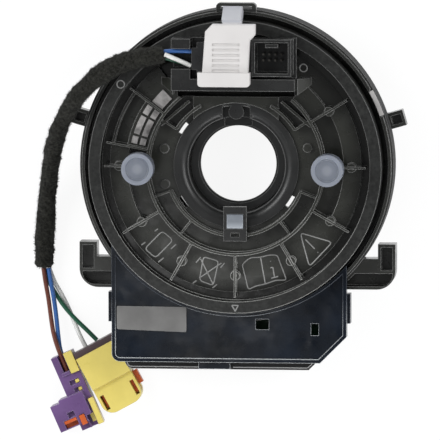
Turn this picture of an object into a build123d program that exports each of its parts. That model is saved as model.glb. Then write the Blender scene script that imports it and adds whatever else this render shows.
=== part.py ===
"""Steering clock spring with its taped harness, airbag connectors and transport lock.

Millimetres. +Z is the spin axis and points to the steering wheel, +Y points to the lock at
the top, and the origin is on the shaft bore's axis at the rear face, where the part rests.
"""

import os
from math import cos, pi, radians, sin, sqrt, tan

from build123d import *

os.makedirs("parts", exist_ok=True)

# Driving sizes
shaft_bore_radius = 16.0
rim_radius = 66.2
rim_wall = 2.2
floor_wall = 1.6
thin_wall = 1.2
collar_height = 6.0
tub_depth = 5.4
shell_lip = 3.2
cup_height = 13.8
flange_rise = 7.6

# Clearances and the overrun of every cut
running_gap = 0.08
fit_gap = 0.15
seat_gap = 0.3
free_gap = 0.6
overrun = 1.0

# Levels that the pieces share, from the rear face up
shell_level = collar_height + tub_depth
board_level = shell_level + floor_wall
parting_level = board_level + shell_lip
chamber_level = parting_level + floor_wall
rim_level = parting_level + cup_height
flange_level = rim_level + flange_rise

# Rotor sleeve
bore_lip_reach = 2.7
bore_lip_height = 1.6
tube_wall = 1.2
throat_drop = 18.2
throat_rise = 0.8
throat_groove = 0.5
band_drop = 6.6
band_flat = 2.4
band_wall = 1.6
band_round = 3.6
drum_wall = 1.6
drum_inset = 1.2
key_width = 11.6
key_depth = 4.6
key_boss_radius = 3.2

tube_inner_radius = shaft_bore_radius + bore_lip_reach
tube_radius = tube_inner_radius + tube_wall
throat_level = flange_level - throat_drop
band_level = flange_level - band_drop
throat_radius = tube_radius + throat_groove
band_radius = throat_radius + band_round + band_flat
key_boss_place = throat_radius + band_flat
drum_radius = band_radius - drum_inset
drum_foot = chamber_level + free_gap

# Rotor disc
flange_gap = 4.5
flange_width = 4.9
flange_plate = 1.8
lip_depth = 10.6
lip_wall = 1.4
moat_width = 3.6
disc_floor = 1.8
recess_depth = 7.6
panel_depth = 4.4
rib_drop = 0.7
rib_wall = 0.9
rib_overhang = 1.9
hub_wall_gap = 2.4
hub_wall_drop = 3.4
ring_wall_radius = 36.4
pocket_radius = 45.4
rib_boss_radius = 2.0
rib_boss_place = 46.0
rib_boss_drop = 0.5
outer_boss_place = 49.0
hub_boss_radius = 1.9
hub_boss_place = 31.1
hub_boss_height = 1.2
plateau_width = 36.0
plateau_reach = 29.3
plateau_rise = 2.4
trench_width = 49.0
brace_length = 16.0
brace_place = (25.5, 22.3)
brace_turn = -40.2
trench_gap = 0.2
block_left = 25.7
block_right = 26.2
block_front = 33.1
cheek_reach = 5.2
cheek_rise = 5.4
cheek_foot_rise = 0.6
cheek_depth = 7.0
cheek_foot_depth = 3.0
cheek_drop = 2.6
post_place = 39.9
post_radius = 4.9
post_rise = 11.6

flange_radius = rim_radius - flange_gap
flange_inner_radius = flange_radius - flange_width
low_level = flange_level - recess_depth
panel_level = flange_level - panel_depth
rib_level = flange_level - rib_drop
disc_underside = low_level - disc_floor
panel_underside = panel_level - disc_floor
panel_radius = flange_inner_radius - moat_width
ring_outer_radius = ring_wall_radius + thin_wall
slit_inner_radius = band_radius + fit_gap
hub_wall_radius = band_radius + hub_wall_gap

# Angles on the disc, counter-clockwise from +X
long_rib_angles = (31.0, 143.3, 169.5, 210.9, 240.5, 270.0, 300.8, 330.6)
boss_rib_angles = (31.0, 210.9, 240.5, 270.0, 300.8, 330.6)
outer_rib_angles = (0.0, 180.0)
hub_rib_angles = (32.0, 148.0, 201.0, 231.0, 309.0, 339.0)
hub_wall_angles = ((32.0, 60.0), (120.0, 148.0), (201.0, 339.0))
hub_boss_angles = (14.3, 167.0, 195.0)
deep_pocket_angles = ((-29.4, 31.0), (169.5, 210.9))
outer_pocket_angles = (143.3, 169.5)
platform_angles = (31.0, 128.0)
inner_platform_angles = (50.0, 128.0)
slit_angles = (145.0, 215.0, 326.6)
slit_turn = 11.0
slit_width = 1.4
slit_window_margin = 0.5
shell_window_turn = 34.0

# Sensor box
box_left = 48.0
box_right = 44.0
box_drop = 87.2
box_chamfer = 14.1
box_wall = 1.8
box_top = 34.0
step_rise = 5.8
cover_left = 52.7
cover_right = 46.6
cover_drop = 83.3
cover_chamfer = 11.2
cover_round = 3.6
cover_plate = 1.6
cover_proud = 0.8
cover_skirt = 5.0
cover_border = 1.6
cover_recess = 0.5
cover_gap = 0.9

step_level = parting_level + step_rise
cover_level = rim_level + cover_proud
cover_mouth_radius = flange_radius + cover_gap
inner_box_inset = box_wall + fit_gap


def spot(radius, angle):
    """Point of the XY plane at a radius and an angle in degrees."""
    return (radius * cos(radians(angle)), radius * sin(radians(angle)))


def ring_sector(inner, outer, start, end, mode=Mode.ADD):
    """Adds the part of a ring between two angles to the sketch it is called in."""
    with BuildLine() as edge:
        CenterArc((0, 0), inner, start, end - start)
        CenterArc((0, 0), outer, start, end - start)
        Line(spot(inner, start), spot(outer, start))
        Line(spot(inner, end), spot(outer, end))
    make_face(edge.edges(), mode=mode)


def box_outline(left, right, drop, corner_cut, corner_round):
    """Sensor box seen from the front: one cut corner and one rounded corner at the bottom."""
    with BuildSketch() as outline:
        Polygon(
            (-left, -box_top),
            (-left, -drop),
            (right - corner_cut, -drop),
            (right, corner_cut - drop),
            (right, -box_top),
            align=None,
        )
        lower_left = outline.vertices().group_by(Axis.Y)[0].sort_by(Axis.X)[0]
        fillet(lower_left, corner_round)
    return outline.sketch


step_outline = box_outline(box_left, box_right, box_drop, box_chamfer, cover_round)
cover_outline = box_outline(cover_left, cover_right, cover_drop, cover_chamfer, cover_round)

# Stator housing: the cup, its side ears, hooks, lock eye and the walls of the sensor box
ear_angles = (16.0, 164.0)
ear_reach = 72.9
ear_width = 6.8
ear_depth = 6.0
ear_drop = 9.5
ear_pocket_width = 3.8
ear_pocket_depth = 3.4
eye_overhang = 2.5
eye_width = 17.0
eye_bar = 1.4
eye_side = 2.0
eye_depth = 4.0
eye_proud = 1.2
eye_round = 1.8
rim_step_width = 0.9
rim_step_drop = 1.2
hook_reach = 66.8
hook_drop = 52.4
hook_top = 39.4
hook_post_top = 33.2
hook_post_width = 7.4
hook_round = 8.0
hook_wall = 1.3
hook_web_place = 45.6
hook_shelf_drop = 4.5
hook_depth = 9.0
hook_sink = 4.5
hook_root = 43.0
hook_round_share = 0.9
window_angles = (19.0, 30.0)
window_depth = 1.2
window_wall = 0.8

eye_reach = rim_radius + eye_overhang
hook_level = rim_level - hook_sink
hook_floor = hook_level - hook_depth

with BuildPart() as stator_housing:
    # The two hooks beside the box, open to the front, one the mirror image of the other
    with BuildSketch(Plane.XY.offset(hook_floor)):
        Polygon(
            (hook_root, -hook_top),
            (hook_root, -hook_drop),
            (hook_reach, -hook_drop),
            (hook_reach, -hook_post_top),
            (hook_reach - hook_post_width, -hook_post_top),
            (hook_reach - hook_post_width, -hook_top),
            align=None,
        )
        hook_heel = vertices(Select.LAST).group_by(Axis.Y)[0].sort_by(Axis.X)[-1]
        fillet(hook_heel, hook_round)
        mirror(about=Plane.YZ)
        Circle(rim_radius - rim_wall / 2, mode=Mode.SUBTRACT)
    extrude(amount=hook_depth)
    hook_inner = hook_reach - hook_wall
    with BuildSketch(Plane.XY.offset(hook_floor + hook_wall)):
        Polygon(
            (hook_root + 2 * hook_wall, -hook_web_place),
            (hook_root + 2 * hook_wall, hook_wall - hook_drop),
            (hook_inner, hook_wall - hook_drop),
            (hook_inner, -hook_web_place),
            align=None,
        )
        pocket_heel = vertices(Select.LAST).group_by(Axis.Y)[0].sort_by(Axis.X)[-1]
        fillet(pocket_heel, hook_round_share * (hook_drop - hook_wall - hook_web_place))
        mirror(about=Plane.YZ)
        Circle(rim_radius + hook_wall, mode=Mode.SUBTRACT)
    extrude(amount=hook_depth, mode=Mode.SUBTRACT)
    with BuildSketch(Plane.XY.offset(hook_level)):
        with Locations((hook_inner, hook_wall - hook_web_place)):
            Rectangle(
                hook_post_width - 2 * hook_wall,
                hook_web_place - hook_post_top - 2 * hook_wall,
                align=(Align.MAX, Align.MIN),
            )
        mirror(about=Plane.YZ)
    extrude(amount=-hook_shelf_drop, mode=Mode.SUBTRACT)
    # Walls of the sensor box: a low step behind and the taller frame inside the cover
    with BuildSketch(Plane.XY.offset(parting_level)):
        add(step_outline)
    extrude(amount=step_rise)
    with BuildSketch(Plane.XY.offset(parting_level)):
        offset(cover_outline, amount=-inner_box_inset)
    extrude(amount=cover_level - cover_plate - parting_level)
    with BuildSketch(Plane.XY.offset(parting_level)):
        offset(step_outline, amount=-box_wall)
    extrude(amount=step_rise - floor_wall, mode=Mode.SUBTRACT)
    with BuildSketch(Plane.XY.offset(parting_level)):
        offset(cover_outline, amount=-inner_box_inset - box_wall)
    extrude(amount=rim_level - parting_level + overrun, mode=Mode.SUBTRACT)
    # The cup
    with BuildSketch(Plane.XY.offset(parting_level)):
        Circle(rim_radius)
    extrude(amount=cup_height)
    with BuildSketch(Plane.XY.offset(chamber_level)):
        Circle(rim_radius - rim_wall)
    extrude(amount=rim_level - chamber_level + overrun, mode=Mode.SUBTRACT)
    with BuildSketch(Plane.XY.offset(parting_level)):
        Circle(tube_radius + free_gap)
        for angle in slit_angles:
            ring_sector(
                slit_inner_radius - slit_window_margin,
                slit_inner_radius + slit_width + slit_window_margin,
                angle - slit_turn,
                angle + slit_turn,
            )
    extrude(amount=floor_wall, mode=Mode.SUBTRACT)
    # Step around the rim's outer edge, and the lower stretch that the sensor cover lies on
    with BuildSketch(Plane.XY.offset(rim_level)):
        Circle(rim_radius + overrun)
        Circle(rim_radius - rim_step_width, mode=Mode.SUBTRACT)
    extrude(amount=-rim_step_drop, mode=Mode.SUBTRACT)
    with BuildSketch(Plane.XY.offset(rim_level)):
        offset(cover_outline, amount=fit_gap)
        Circle(rim_radius + overrun, mode=Mode.INTERSECT)
    extrude(amount=cover_level - cover_plate - fit_gap - rim_level, mode=Mode.SUBTRACT)
    # Window strip in the rim's top edge
    with BuildSketch(Plane.XY.offset(rim_level)):
        ring_sector(rim_radius - rim_wall + window_wall, rim_radius + overrun, *window_angles)
    extrude(amount=-window_depth, mode=Mode.SUBTRACT)
    # Side ears with a pocket that is open to the front
    for angle in ear_angles:
        ear_plane = Plane.XY.offset(rim_level - ear_drop).rotated((0, 0, angle))
        ear_root = rim_radius - rim_wall / 2
        with BuildSketch(ear_plane):
            with Locations(((ear_root + ear_reach) / 2, 0)):
                Rectangle(ear_reach - ear_root, ear_width)
        extrude(amount=-ear_depth)
        pocket_root = rim_radius + thin_wall
        with BuildSketch(ear_plane):
            with Locations(((pocket_root + ear_reach - thin_wall) / 2, 0)):
                Rectangle(ear_reach - thin_wall - pocket_root, ear_pocket_width)
        extrude(amount=-ear_pocket_depth, mode=Mode.SUBTRACT)
    # Lock eye at the top of the rim
    with BuildSketch(Plane.XY.offset(rim_level + eye_proud)):
        with Locations((0, rim_radius - rim_wall)):
            Rectangle(eye_width, eye_reach - rim_radius + rim_wall, align=(Align.CENTER, Align.MIN))
        fillet(vertices(Select.LAST).group_by(Axis.Y)[-1], eye_round)
        with Locations((0, eye_reach - eye_bar)):
            Rectangle(
                eye_width - 2 * eye_side,
                eye_reach - eye_bar - rim_radius,
                align=(Align.CENTER, Align.MAX),
                mode=Mode.SUBTRACT,
            )
        Circle(rim_radius - rim_wall / 2, mode=Mode.SUBTRACT)
    extrude(amount=-eye_depth)
stator_housing.part.label = "stator_housing"

# Rear shell: plate under the board, tub for the sensor gears, bush and locating collar
shell_radius = 44.0
tub_radius = 32.6
collar_radius = 25.5
collar_wall = 1.9
bush_wall = 1.9
gear_module = 1.0
drive_teeth = 44
measuring_teeth = (22, 24)
gear_turn = 25.0
gear_backlash = 0.25
gear_width = 3.6
gear_gap = 0.6
axle_radius = 1.5
axle_height = 2.4
header_width = 38.0
header_depth = 15.0
header_centre = -69.0
header_wall = 1.5
header_floor = 2.0

bearing_radius = tube_radius + running_gap
tub_floor = collar_height + floor_wall
gear_level = tub_floor + gear_gap
drive_pitch_radius = gear_module * drive_teeth / 2
measuring_radii = [gear_module * teeth / 2 for teeth in measuring_teeth]
gear_spots = [
    spot(drive_pitch_radius + radius, -90 + side * gear_turn)
    for radius, side in zip(measuring_radii, (-1, 1))
]
largest_gear = max(measuring_radii) + gear_module
gear_reach = drive_pitch_radius + max(measuring_radii)
tub_half_width = gear_reach * sin(radians(gear_turn)) + largest_gear + free_gap + floor_wall
tub_bottom = gear_reach * cos(radians(gear_turn)) + largest_gear + free_gap + floor_wall


with BuildSketch() as shell_outline:
    add(step_outline)
    Circle(shell_radius)

with BuildSketch() as tub_outline:
    Circle(tub_radius)
    Rectangle(2 * tub_half_width, tub_bottom, align=(Align.CENTER, Align.MAX))

with BuildPart() as rear_shell:
    with BuildSketch(Plane.XY.offset(shell_level)):
        add(shell_outline.sketch)
    extrude(amount=parting_level - shell_level)
    with BuildSketch(Plane.XY.offset(board_level)):
        offset(shell_outline.sketch, amount=-floor_wall)
    extrude(amount=shell_lip, mode=Mode.SUBTRACT)
    with BuildSketch(Plane.XY.offset(collar_height)):
        add(tub_outline.sketch)
    extrude(amount=tub_depth)
    with BuildSketch(Plane.XY.offset(tub_floor)):
        offset(tub_outline.sketch, amount=-floor_wall)
    extrude(amount=board_level - tub_floor, mode=Mode.SUBTRACT)
    # Collar and bush under the tub, with the bearing bore through both
    with BuildSketch():
        Circle(collar_radius)
        Circle(collar_radius - collar_wall, mode=Mode.SUBTRACT)
        Circle(bearing_radius + bush_wall)
    extrude(amount=collar_height)
    with BuildSketch():
        Circle(bearing_radius)
    extrude(amount=tub_floor, mode=Mode.SUBTRACT)
    with BuildSketch(Plane.XY.offset(collar_height)):
        for angle in slit_angles:
            ring_sector(
                slit_inner_radius - slit_window_margin,
                tub_radius - floor_wall - fit_gap,
                angle - shell_window_turn / 2,
                angle + shell_window_turn / 2,
            )
    extrude(amount=floor_wall, mode=Mode.SUBTRACT)
    # Axles of the measuring gears
    with BuildSketch(Plane.XY.offset(tub_floor)):
        with Locations(*gear_spots):
            Circle(axle_radius)
    extrude(amount=axle_height)
    # Opening for the vehicle header
    with BuildSketch(Plane.XY.offset(shell_level)):
        with Locations((0, header_centre)):
            Rectangle(header_width + 2 * fit_gap, header_depth + 2 * fit_gap)
    extrude(amount=floor_wall, mode=Mode.SUBTRACT)
rear_shell.part.label = "rear_shell"

# Sensor cover: glossy front with a sunken face, two windows and skirts with latch plates
window_places = ((11.0, -67.0), (33.2, -69.0))
window_sizes = ((5.6, 4.4), (3.2, 5.0))
latch_plate_height = 12.6
latch_plate_thickness = 1.5
latch_plate_place = -60.2
latch_plate_depth = 6.0
foot_latch_width = 13.4
foot_latch_place = -9.4
foot_latch_thickness = 3.0
foot_latch_depth = 6.8

with BuildPart() as sensor_cover:
    with BuildSketch(Plane.XY.offset(cover_level)):
        add(cover_outline)
        Circle(rim_radius + seat_gap, mode=Mode.SUBTRACT)
    extrude(amount=-cover_skirt)
    with BuildSketch(Plane.XY.offset(cover_level - cover_plate)):
        offset(cover_outline, amount=-box_wall)
        Circle(rim_radius + seat_gap - overrun, mode=Mode.SUBTRACT)
    extrude(amount=-cover_skirt, mode=Mode.SUBTRACT)
    with BuildSketch(Plane.XY.offset(cover_level)):
        add(cover_outline)
        Circle(cover_mouth_radius, mode=Mode.SUBTRACT)
    extrude(amount=-cover_plate)
    with BuildSketch(Plane.XY.offset(cover_level)):
        offset(cover_outline, amount=-cover_border)
        Circle(cover_mouth_radius + thin_wall, mode=Mode.SUBTRACT)
    extrude(amount=-cover_recess, mode=Mode.SUBTRACT)
    for place, size in zip(window_places, window_sizes):
        with BuildSketch(Plane.XY.offset(cover_level)):
            with Locations(place):
                Rectangle(*size)
        extrude(amount=-cover_plate, mode=Mode.SUBTRACT)
    with BuildSketch(Plane.XY.offset(cover_level - cover_plate)):
        for edge, side in ((-cover_left, Align.MAX), (cover_right, Align.MIN)):
            with Locations((edge, latch_plate_place)):
                Rectangle(latch_plate_thickness, latch_plate_height, align=(side, Align.CENTER))
    extrude(amount=-latch_plate_depth)
    with BuildSketch(Plane.XY.offset(cover_level - cover_plate)):
        with Locations((foot_latch_place, -cover_drop)):
            Rectangle(foot_latch_width, foot_latch_thickness, align=(Align.CENTER, Align.MAX))
    extrude(amount=-foot_latch_depth)
sensor_cover.part.label = "sensor_cover"

# Circuit board on the shell plate, its two angle sensor chips over the magnets
board_thickness = 1.6
board_top = 21.5
board_neck = 46.0
chip_size = 6.0
chip_height = 1.1

with BuildPart() as circuit_board:
    with BuildSketch(Plane.XY.offset(board_level)):
        offset(step_outline, amount=-floor_wall - fit_gap)
        with Locations((0, -shell_radius)):
            Rectangle(2 * rim_radius, shell_radius, align=(Align.CENTER, Align.MIN), mode=Mode.SUBTRACT)
        with Locations((0, -board_top)):
            Rectangle(
                board_neck,
                shell_radius - board_top + overrun,
                align=(Align.CENTER, Align.MAX),
            )
    extrude(amount=board_thickness)
circuit_board.part.label = "circuit_board"

with BuildPart() as angle_sensors:
    with BuildSketch(Plane.XY.offset(board_level + board_thickness)):
        with Locations(*gear_spots):
            Rectangle(chip_size, chip_size)
    extrude(amount=chip_height)
angle_sensors.part.label = "angle_sensors"

# Vehicle header under the board, open to the rear, and its pins
header_rows = 2
header_columns = 6
header_pitch_x = 5.4
header_pitch_y = 5.2
pin_size = 1.0
pin_recess = 3.5

with BuildPart() as vehicle_header:
    with BuildSketch(Plane.XY.offset(board_level)):
        with Locations((0, header_centre)):
            Rectangle(header_width, header_depth)
    extrude(amount=-board_level)
    with BuildSketch(Plane.XY.offset(board_level - header_floor)):
        with Locations((0, header_centre)):
            Rectangle(header_width - 2 * header_wall, header_depth - 2 * header_wall)
    extrude(amount=-board_level, mode=Mode.SUBTRACT)
vehicle_header.part.label = "vehicle_header"

with BuildPart() as header_pins:
    with BuildSketch(Plane.XY.offset(board_level - header_floor)):
        with Locations((0, header_centre)):
            with GridLocations(header_pitch_x, header_pitch_y, header_columns, header_rows):
                Rectangle(pin_size, pin_size)
    extrude(amount=header_floor + pin_recess - board_level)
header_pins.part.label = "header_pins"


# Sensor gears: flanks of straight taper with generous backlash, in mesh at rest
tooth_tip_share = 0.3
tooth_root_share = 0.72
addendum_share = 0.9
dedendum_share = 1.15
magnet_radius = 2.6
magnet_height = 1.2
gear_cap = 0.5


def gear_profile(teeth, tooth_angle):
    """Adds a spur gear to the sketch it is called in, with one tooth centred on an angle."""
    pitch_radius = gear_module * teeth / 2
    tip_radius = pitch_radius + addendum_share * gear_module
    root_radius = pitch_radius - dedendum_share * gear_module
    pitch_turn = 360 / teeth
    lost_turn = gear_backlash / (2 * pi * pitch_radius) * 360
    tip_turn = tooth_tip_share * pitch_turn - lost_turn / 2
    root_turn = tooth_root_share * pitch_turn - lost_turn / 2
    outline = []
    for tooth in range(teeth):
        middle = tooth_angle + tooth * pitch_turn
        outline.append(spot(root_radius, middle - root_turn / 2))
        outline.append(spot(tip_radius, middle - tip_turn / 2))
        outline.append(spot(tip_radius, middle + tip_turn / 2))
        outline.append(spot(root_radius, middle + root_turn / 2))
    Polygon(*outline, align=None)


with BuildPart() as drive_gear:
    with BuildSketch(Plane.XY.offset(gear_level)):
        gear_profile(drive_teeth, 0)
        Circle(tube_radius, mode=Mode.SUBTRACT)
    extrude(amount=gear_width)
drive_gear.part.label = "drive_gear"


def measuring_gear(teeth, centre, mesh_angle, label):
    """Small gear on its axle, turned so that a gap of it takes the tooth it meshes with."""
    # The drive gear's tooth phase at the mesh point, carried over to the small gear
    drive_phase = (mesh_angle / (360 / drive_teeth)) % 1
    gap_angle = mesh_angle + 180 + drive_phase * 360 / teeth
    with BuildPart() as gear:
        with BuildSketch(Plane.XY.offset(gear_level).move(Location((*centre, 0)))):
            gear_profile(teeth, gap_angle + 180 / teeth)
        extrude(amount=gear_width)
        with BuildSketch(Plane.XY.offset(gear_level).move(Location((*centre, 0)))):
            Circle(axle_radius + running_gap)
        extrude(amount=axle_height - gear_gap + seat_gap, mode=Mode.SUBTRACT)
        with BuildSketch(Plane.XY.offset(gear_level + gear_width).move(Location((*centre, 0)))):
            Circle(magnet_radius)
        extrude(amount=gear_cap - magnet_height, mode=Mode.SUBTRACT)
    gear.part.label = label
    return gear


def sensor_magnet(centre, label):
    """Magnet seated in the top of a measuring gear."""
    with BuildPart() as magnet:
        seat_level = gear_level + gear_width + gear_cap - magnet_height
        with BuildSketch(Plane.XY.offset(seat_level).move(Location((*centre, 0)))):
            Circle(magnet_radius)
        extrude(amount=magnet_height)
    magnet.part.label = label
    return magnet


measuring_gears = []
magnets = []
for letter, teeth, centre, side in zip("ab", measuring_teeth, gear_spots, (-1, 1)):
    mesh_angle = -90 + side * gear_turn
    measuring_gears.append(measuring_gear(teeth, centre, mesh_angle, f"measuring_gear_{letter}"))
    magnets.append(sensor_magnet(centre, f"magnet_{letter}"))

# Flat cable: a two-centre spiral of half circles between the drum and the cup's wall
cable_half_turns = 6
cable_thickness = 0.5
cable_margin = 0.5

cable_step = (rim_radius - rim_wall - drum_radius - 2 * cable_margin) / cable_half_turns
cable_start = drum_radius + cable_margin + cable_step / 2
cable_foot = chamber_level + seat_gap
cable_top = disc_underside - 3 * free_gap

with BuildPart() as flat_cable:
    with BuildSketch(Plane.XY.offset(cable_foot)):
        with BuildLine():
            inner_end = cable_start - cable_step / 2
            outer_end = inner_end + cable_half_turns * cable_step
            for edge in (-cable_thickness / 2, cable_thickness / 2):
                for half in range(cable_half_turns):
                    side = 1 if half % 2 else -1
                    radius = cable_start + half * cable_step + edge
                    CenterArc((side * cable_step / 2, 0), radius, 90 + side * 90, 180)
            for end in (inner_end, outer_end):
                Line((end - cable_thickness / 2, 0), (end + cable_thickness / 2, 0))
        make_face()
    extrude(amount=cable_top - cable_foot)
flat_cable.part.label = "flat_cable"

# Rotor sleeve: bore tube with its lip, hub band rolled into the throat, and cable drum
drum_inner_radius = drum_radius - drum_wall
throat_skin_radius = throat_radius + band_wall
roof_level = band_level - band_wall
lip_level = throat_level - bore_lip_height
key_floor = band_level - key_depth
seat_radius = drum_radius + thin_wall

with BuildPart() as rotor_sleeve:
    with BuildSketch(Plane.XZ):
        with BuildLine():
            Polyline(
                (throat_radius, band_level - band_round),
                (throat_radius, throat_level),
                (tube_radius, throat_level),
                (tube_radius, throat_level + throat_rise),
                (shaft_bore_radius + throat_rise, throat_level + throat_rise),
                (shaft_bore_radius, throat_level),
                (shaft_bore_radius, lip_level),
                (tube_inner_radius, lip_level),
                (tube_inner_radius, 0),
                (tube_radius, 0),
                (tube_radius, drum_foot),
                (throat_skin_radius, drum_foot),
                (throat_skin_radius, roof_level),
                (drum_inner_radius, roof_level),
                (drum_inner_radius, drum_foot),
                (drum_radius, drum_foot),
                (drum_radius, disc_underside - thin_wall),
                (seat_radius, disc_underside - thin_wall),
                (seat_radius, disc_underside),
                (drum_radius, disc_underside),
                (drum_radius, low_level),
                (band_radius, low_level),
                (band_radius, band_level),
                (throat_radius + band_round, band_level),
            )
            RadiusArc(
                (throat_radius + band_round, band_level),
                (throat_radius, band_level - band_round),
                -band_round,
            )
        make_face()
    revolve(axis=Axis.Z)
    # Key channel across the band at the top, its round boss and its notch in the bore's lip
    with BuildSketch(Plane.XY.offset(key_floor - thin_wall)):
        with Locations((0, throat_radius)):
            Rectangle(
                key_width + 2 * thin_wall,
                drum_radius - throat_radius,
                align=(Align.CENTER, Align.MIN),
            )
        Circle(drum_radius - thin_wall / 2, mode=Mode.INTERSECT)
    extrude(amount=roof_level - key_floor + 2 * thin_wall)
    with BuildSketch(Plane.XY.offset(key_floor)):
        with Locations((0, shaft_bore_radius)):
            Rectangle(key_width, drum_radius - shaft_bore_radius, align=(Align.CENTER, Align.MIN))
    extrude(amount=band_level - key_floor, mode=Mode.SUBTRACT)
    with BuildSketch(Plane.XY.offset(throat_level)):
        with Locations((0, shaft_bore_radius)):
            Rectangle(key_width, tube_radius - shaft_bore_radius, align=(Align.CENTER, Align.MIN))
    extrude(amount=throat_rise, mode=Mode.SUBTRACT)
    with BuildSketch(Plane.XY.offset(key_floor)):
        with Locations((0, key_boss_place)):
            Circle(key_boss_radius)
    extrude(amount=key_depth)
rotor_sleeve.part.label = "rotor_sleeve"

# Rotor disc: stepped floor, walls, flange with its skirt, ribs and the two posts
boss_level = rib_level - rib_boss_drop
hub_wall_level = flange_level - hub_wall_drop
rib_end_radius = panel_radius + rib_overhang
post_top = flange_level + post_rise
strip_thickness = 0.7

with BuildPart() as rotor_disc:
    with BuildSketch(Plane.XZ):
        Polygon(
            (drum_radius, disc_underside),
            (ring_outer_radius, disc_underside),
            (ring_outer_radius, panel_underside),
            (panel_radius - thin_wall, panel_underside),
            (panel_radius - thin_wall, disc_underside),
            (flange_inner_radius + lip_wall, disc_underside),
            (flange_inner_radius + lip_wall, flange_level - flange_plate),
            (flange_radius - lip_wall, flange_level - flange_plate),
            (flange_radius - lip_wall, flange_level - lip_depth),
            (flange_radius, flange_level - lip_depth),
            (flange_radius, flange_level),
            (flange_inner_radius, flange_level),
            (flange_inner_radius, low_level),
            (panel_radius, low_level),
            (panel_radius, panel_level),
            (ring_outer_radius, panel_level),
            (ring_outer_radius, rib_level),
            (ring_wall_radius, rib_level),
            (ring_wall_radius, low_level),
            (drum_radius, low_level),
            align=None,
        )
    revolve(axis=Axis.Z)
    # Deep pockets and the low platform under the socket block
    with BuildSketch(Plane.XY.offset(disc_underside)):
        for start, end in deep_pocket_angles:
            ring_sector(ring_wall_radius, pocket_radius + thin_wall, start, end)
        ring_sector(pocket_radius, panel_radius, *outer_pocket_angles)
        ring_sector(ring_wall_radius, panel_radius, *platform_angles)
    extrude(amount=panel_level - disc_underside)
    with BuildSketch(Plane.XY.offset(low_level)):
        for start, end in deep_pocket_angles:
            ring_sector(ring_outer_radius, pocket_radius, start, end)
        ring_sector(pocket_radius + thin_wall, panel_radius - thin_wall, *outer_pocket_angles)
        ring_sector(pocket_radius, flange_inner_radius, *platform_angles)
        ring_sector(hub_wall_radius, pocket_radius + thin_wall, *inner_platform_angles)
    extrude(amount=flange_level - low_level, mode=Mode.SUBTRACT)
    # Radial ribs
    with BuildSketch(Plane.XY.offset(low_level - disc_floor / 2)):
        for angle in long_rib_angles:
            with Locations(Location((0, 0, 0), (0, 0, angle))):
                with Locations((ring_outer_radius - thin_wall / 2, 0)):
                    Rectangle(
                        rib_end_radius - ring_outer_radius + thin_wall / 2,
                        rib_wall,
                        align=(Align.MIN, Align.CENTER),
                    )
        for angle in outer_rib_angles:
            with Locations(Location((0, 0, 0), (0, 0, angle))):
                with Locations((pocket_radius, 0)):
                    Rectangle(
                        rib_end_radius - pocket_radius,
                        rib_wall,
                        align=(Align.MIN, Align.CENTER),
                    )
    extrude(amount=rib_level - low_level + disc_floor / 2)
    with BuildSketch(Plane.XY.offset(low_level - disc_floor / 2)):
        for angle in hub_rib_angles:
            with Locations(Location((0, 0, 0), (0, 0, angle))):
                with Locations((hub_wall_radius + thin_wall / 2, 0)):
                    Rectangle(
                        ring_wall_radius - hub_wall_radius,
                        rib_wall,
                        align=(Align.MIN, Align.CENTER),
                    )
        # Hub wall in three stretches, and the straight braces beside the socket block
        for start, end in hub_wall_angles:
            ring_sector(hub_wall_radius, hub_wall_radius + thin_wall, start, end)
        for side in (-1, 1):
            with Locations(Location((side * brace_place[0], brace_place[1], 0), (0, 0, side * brace_turn))):
                Rectangle(brace_length, thin_wall)
    extrude(amount=hub_wall_level - low_level + disc_floor / 2)
    # Round bosses on the ribs and on the floor around the hub
    with BuildSketch(Plane.XY.offset(low_level - disc_floor / 2)):
        with Locations(*[spot(rib_boss_place, angle) for angle in boss_rib_angles]):
            Circle(rib_boss_radius)
        with Locations(*[spot(outer_boss_place, angle) for angle in outer_rib_angles]):
            Circle(rib_boss_radius)
    extrude(amount=boss_level - low_level + disc_floor / 2)
    with BuildSketch(Plane.XY.offset(low_level - disc_floor / 2)):
        with Locations(*[spot(hub_boss_place, angle) for angle in hub_boss_angles]):
            Circle(hub_boss_radius)
    extrude(amount=hub_boss_height + disc_floor / 2)
    # Plateau over the hub and the trench between it and the socket block
    with BuildSketch(Plane.XY.offset(low_level - disc_floor / 2)):
        with Locations((0, plateau_reach)):
            Rectangle(plateau_width, plateau_reach / 2, align=(Align.CENTER, Align.MAX))
        Circle(slit_inner_radius, mode=Mode.SUBTRACT)
    extrude(amount=plateau_rise + disc_floor / 2)
    with BuildSketch(Plane.XY.offset(disc_underside)):
        with Locations((0, plateau_reach)):
            Rectangle(
                trench_width,
                block_front - trench_gap - plateau_reach,
                align=(Align.CENTER, Align.MIN),
            )
    extrude(amount=flange_level - disc_underside, mode=Mode.SUBTRACT)
    # Sloped cheeks at both ends of the socket block
    for side, block_end in ((-1, block_left), (1, block_right)):
        cheek_start = side * (block_end + trench_gap)
        cheek_back = block_front - cheek_drop + cheek_depth
        for place, depth, rise in (
            (cheek_start, cheek_depth, cheek_rise),
            (cheek_start + side * cheek_reach, cheek_foot_depth, cheek_foot_rise),
        ):
            with BuildSketch(Plane.YZ.offset(place)):
                with Locations((cheek_back, low_level - disc_floor / 2)):
                    Rectangle(
                        depth,
                        panel_level + rise - low_level + disc_floor / 2,
                        align=(Align.MAX, Align.MIN),
                    )
        loft()
    # Posts that carry the soft caps
    with BuildSketch(Plane.XY.offset(disc_underside)):
        with Locations((-post_place, 0), (post_place, 0)):
            Circle(post_radius)
    extrude(amount=post_top - disc_underside)
    # Slits behind the drum's lip
    with BuildSketch(Plane.XY.offset(disc_underside)):
        for angle in slit_angles:
            ring_sector(
                slit_inner_radius,
                slit_inner_radius + slit_width,
                angle - slit_turn / 2,
                angle + slit_turn / 2,
            )
    extrude(amount=disc_floor, mode=Mode.SUBTRACT)
rotor_disc.part.label = "rotor_disc"

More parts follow.
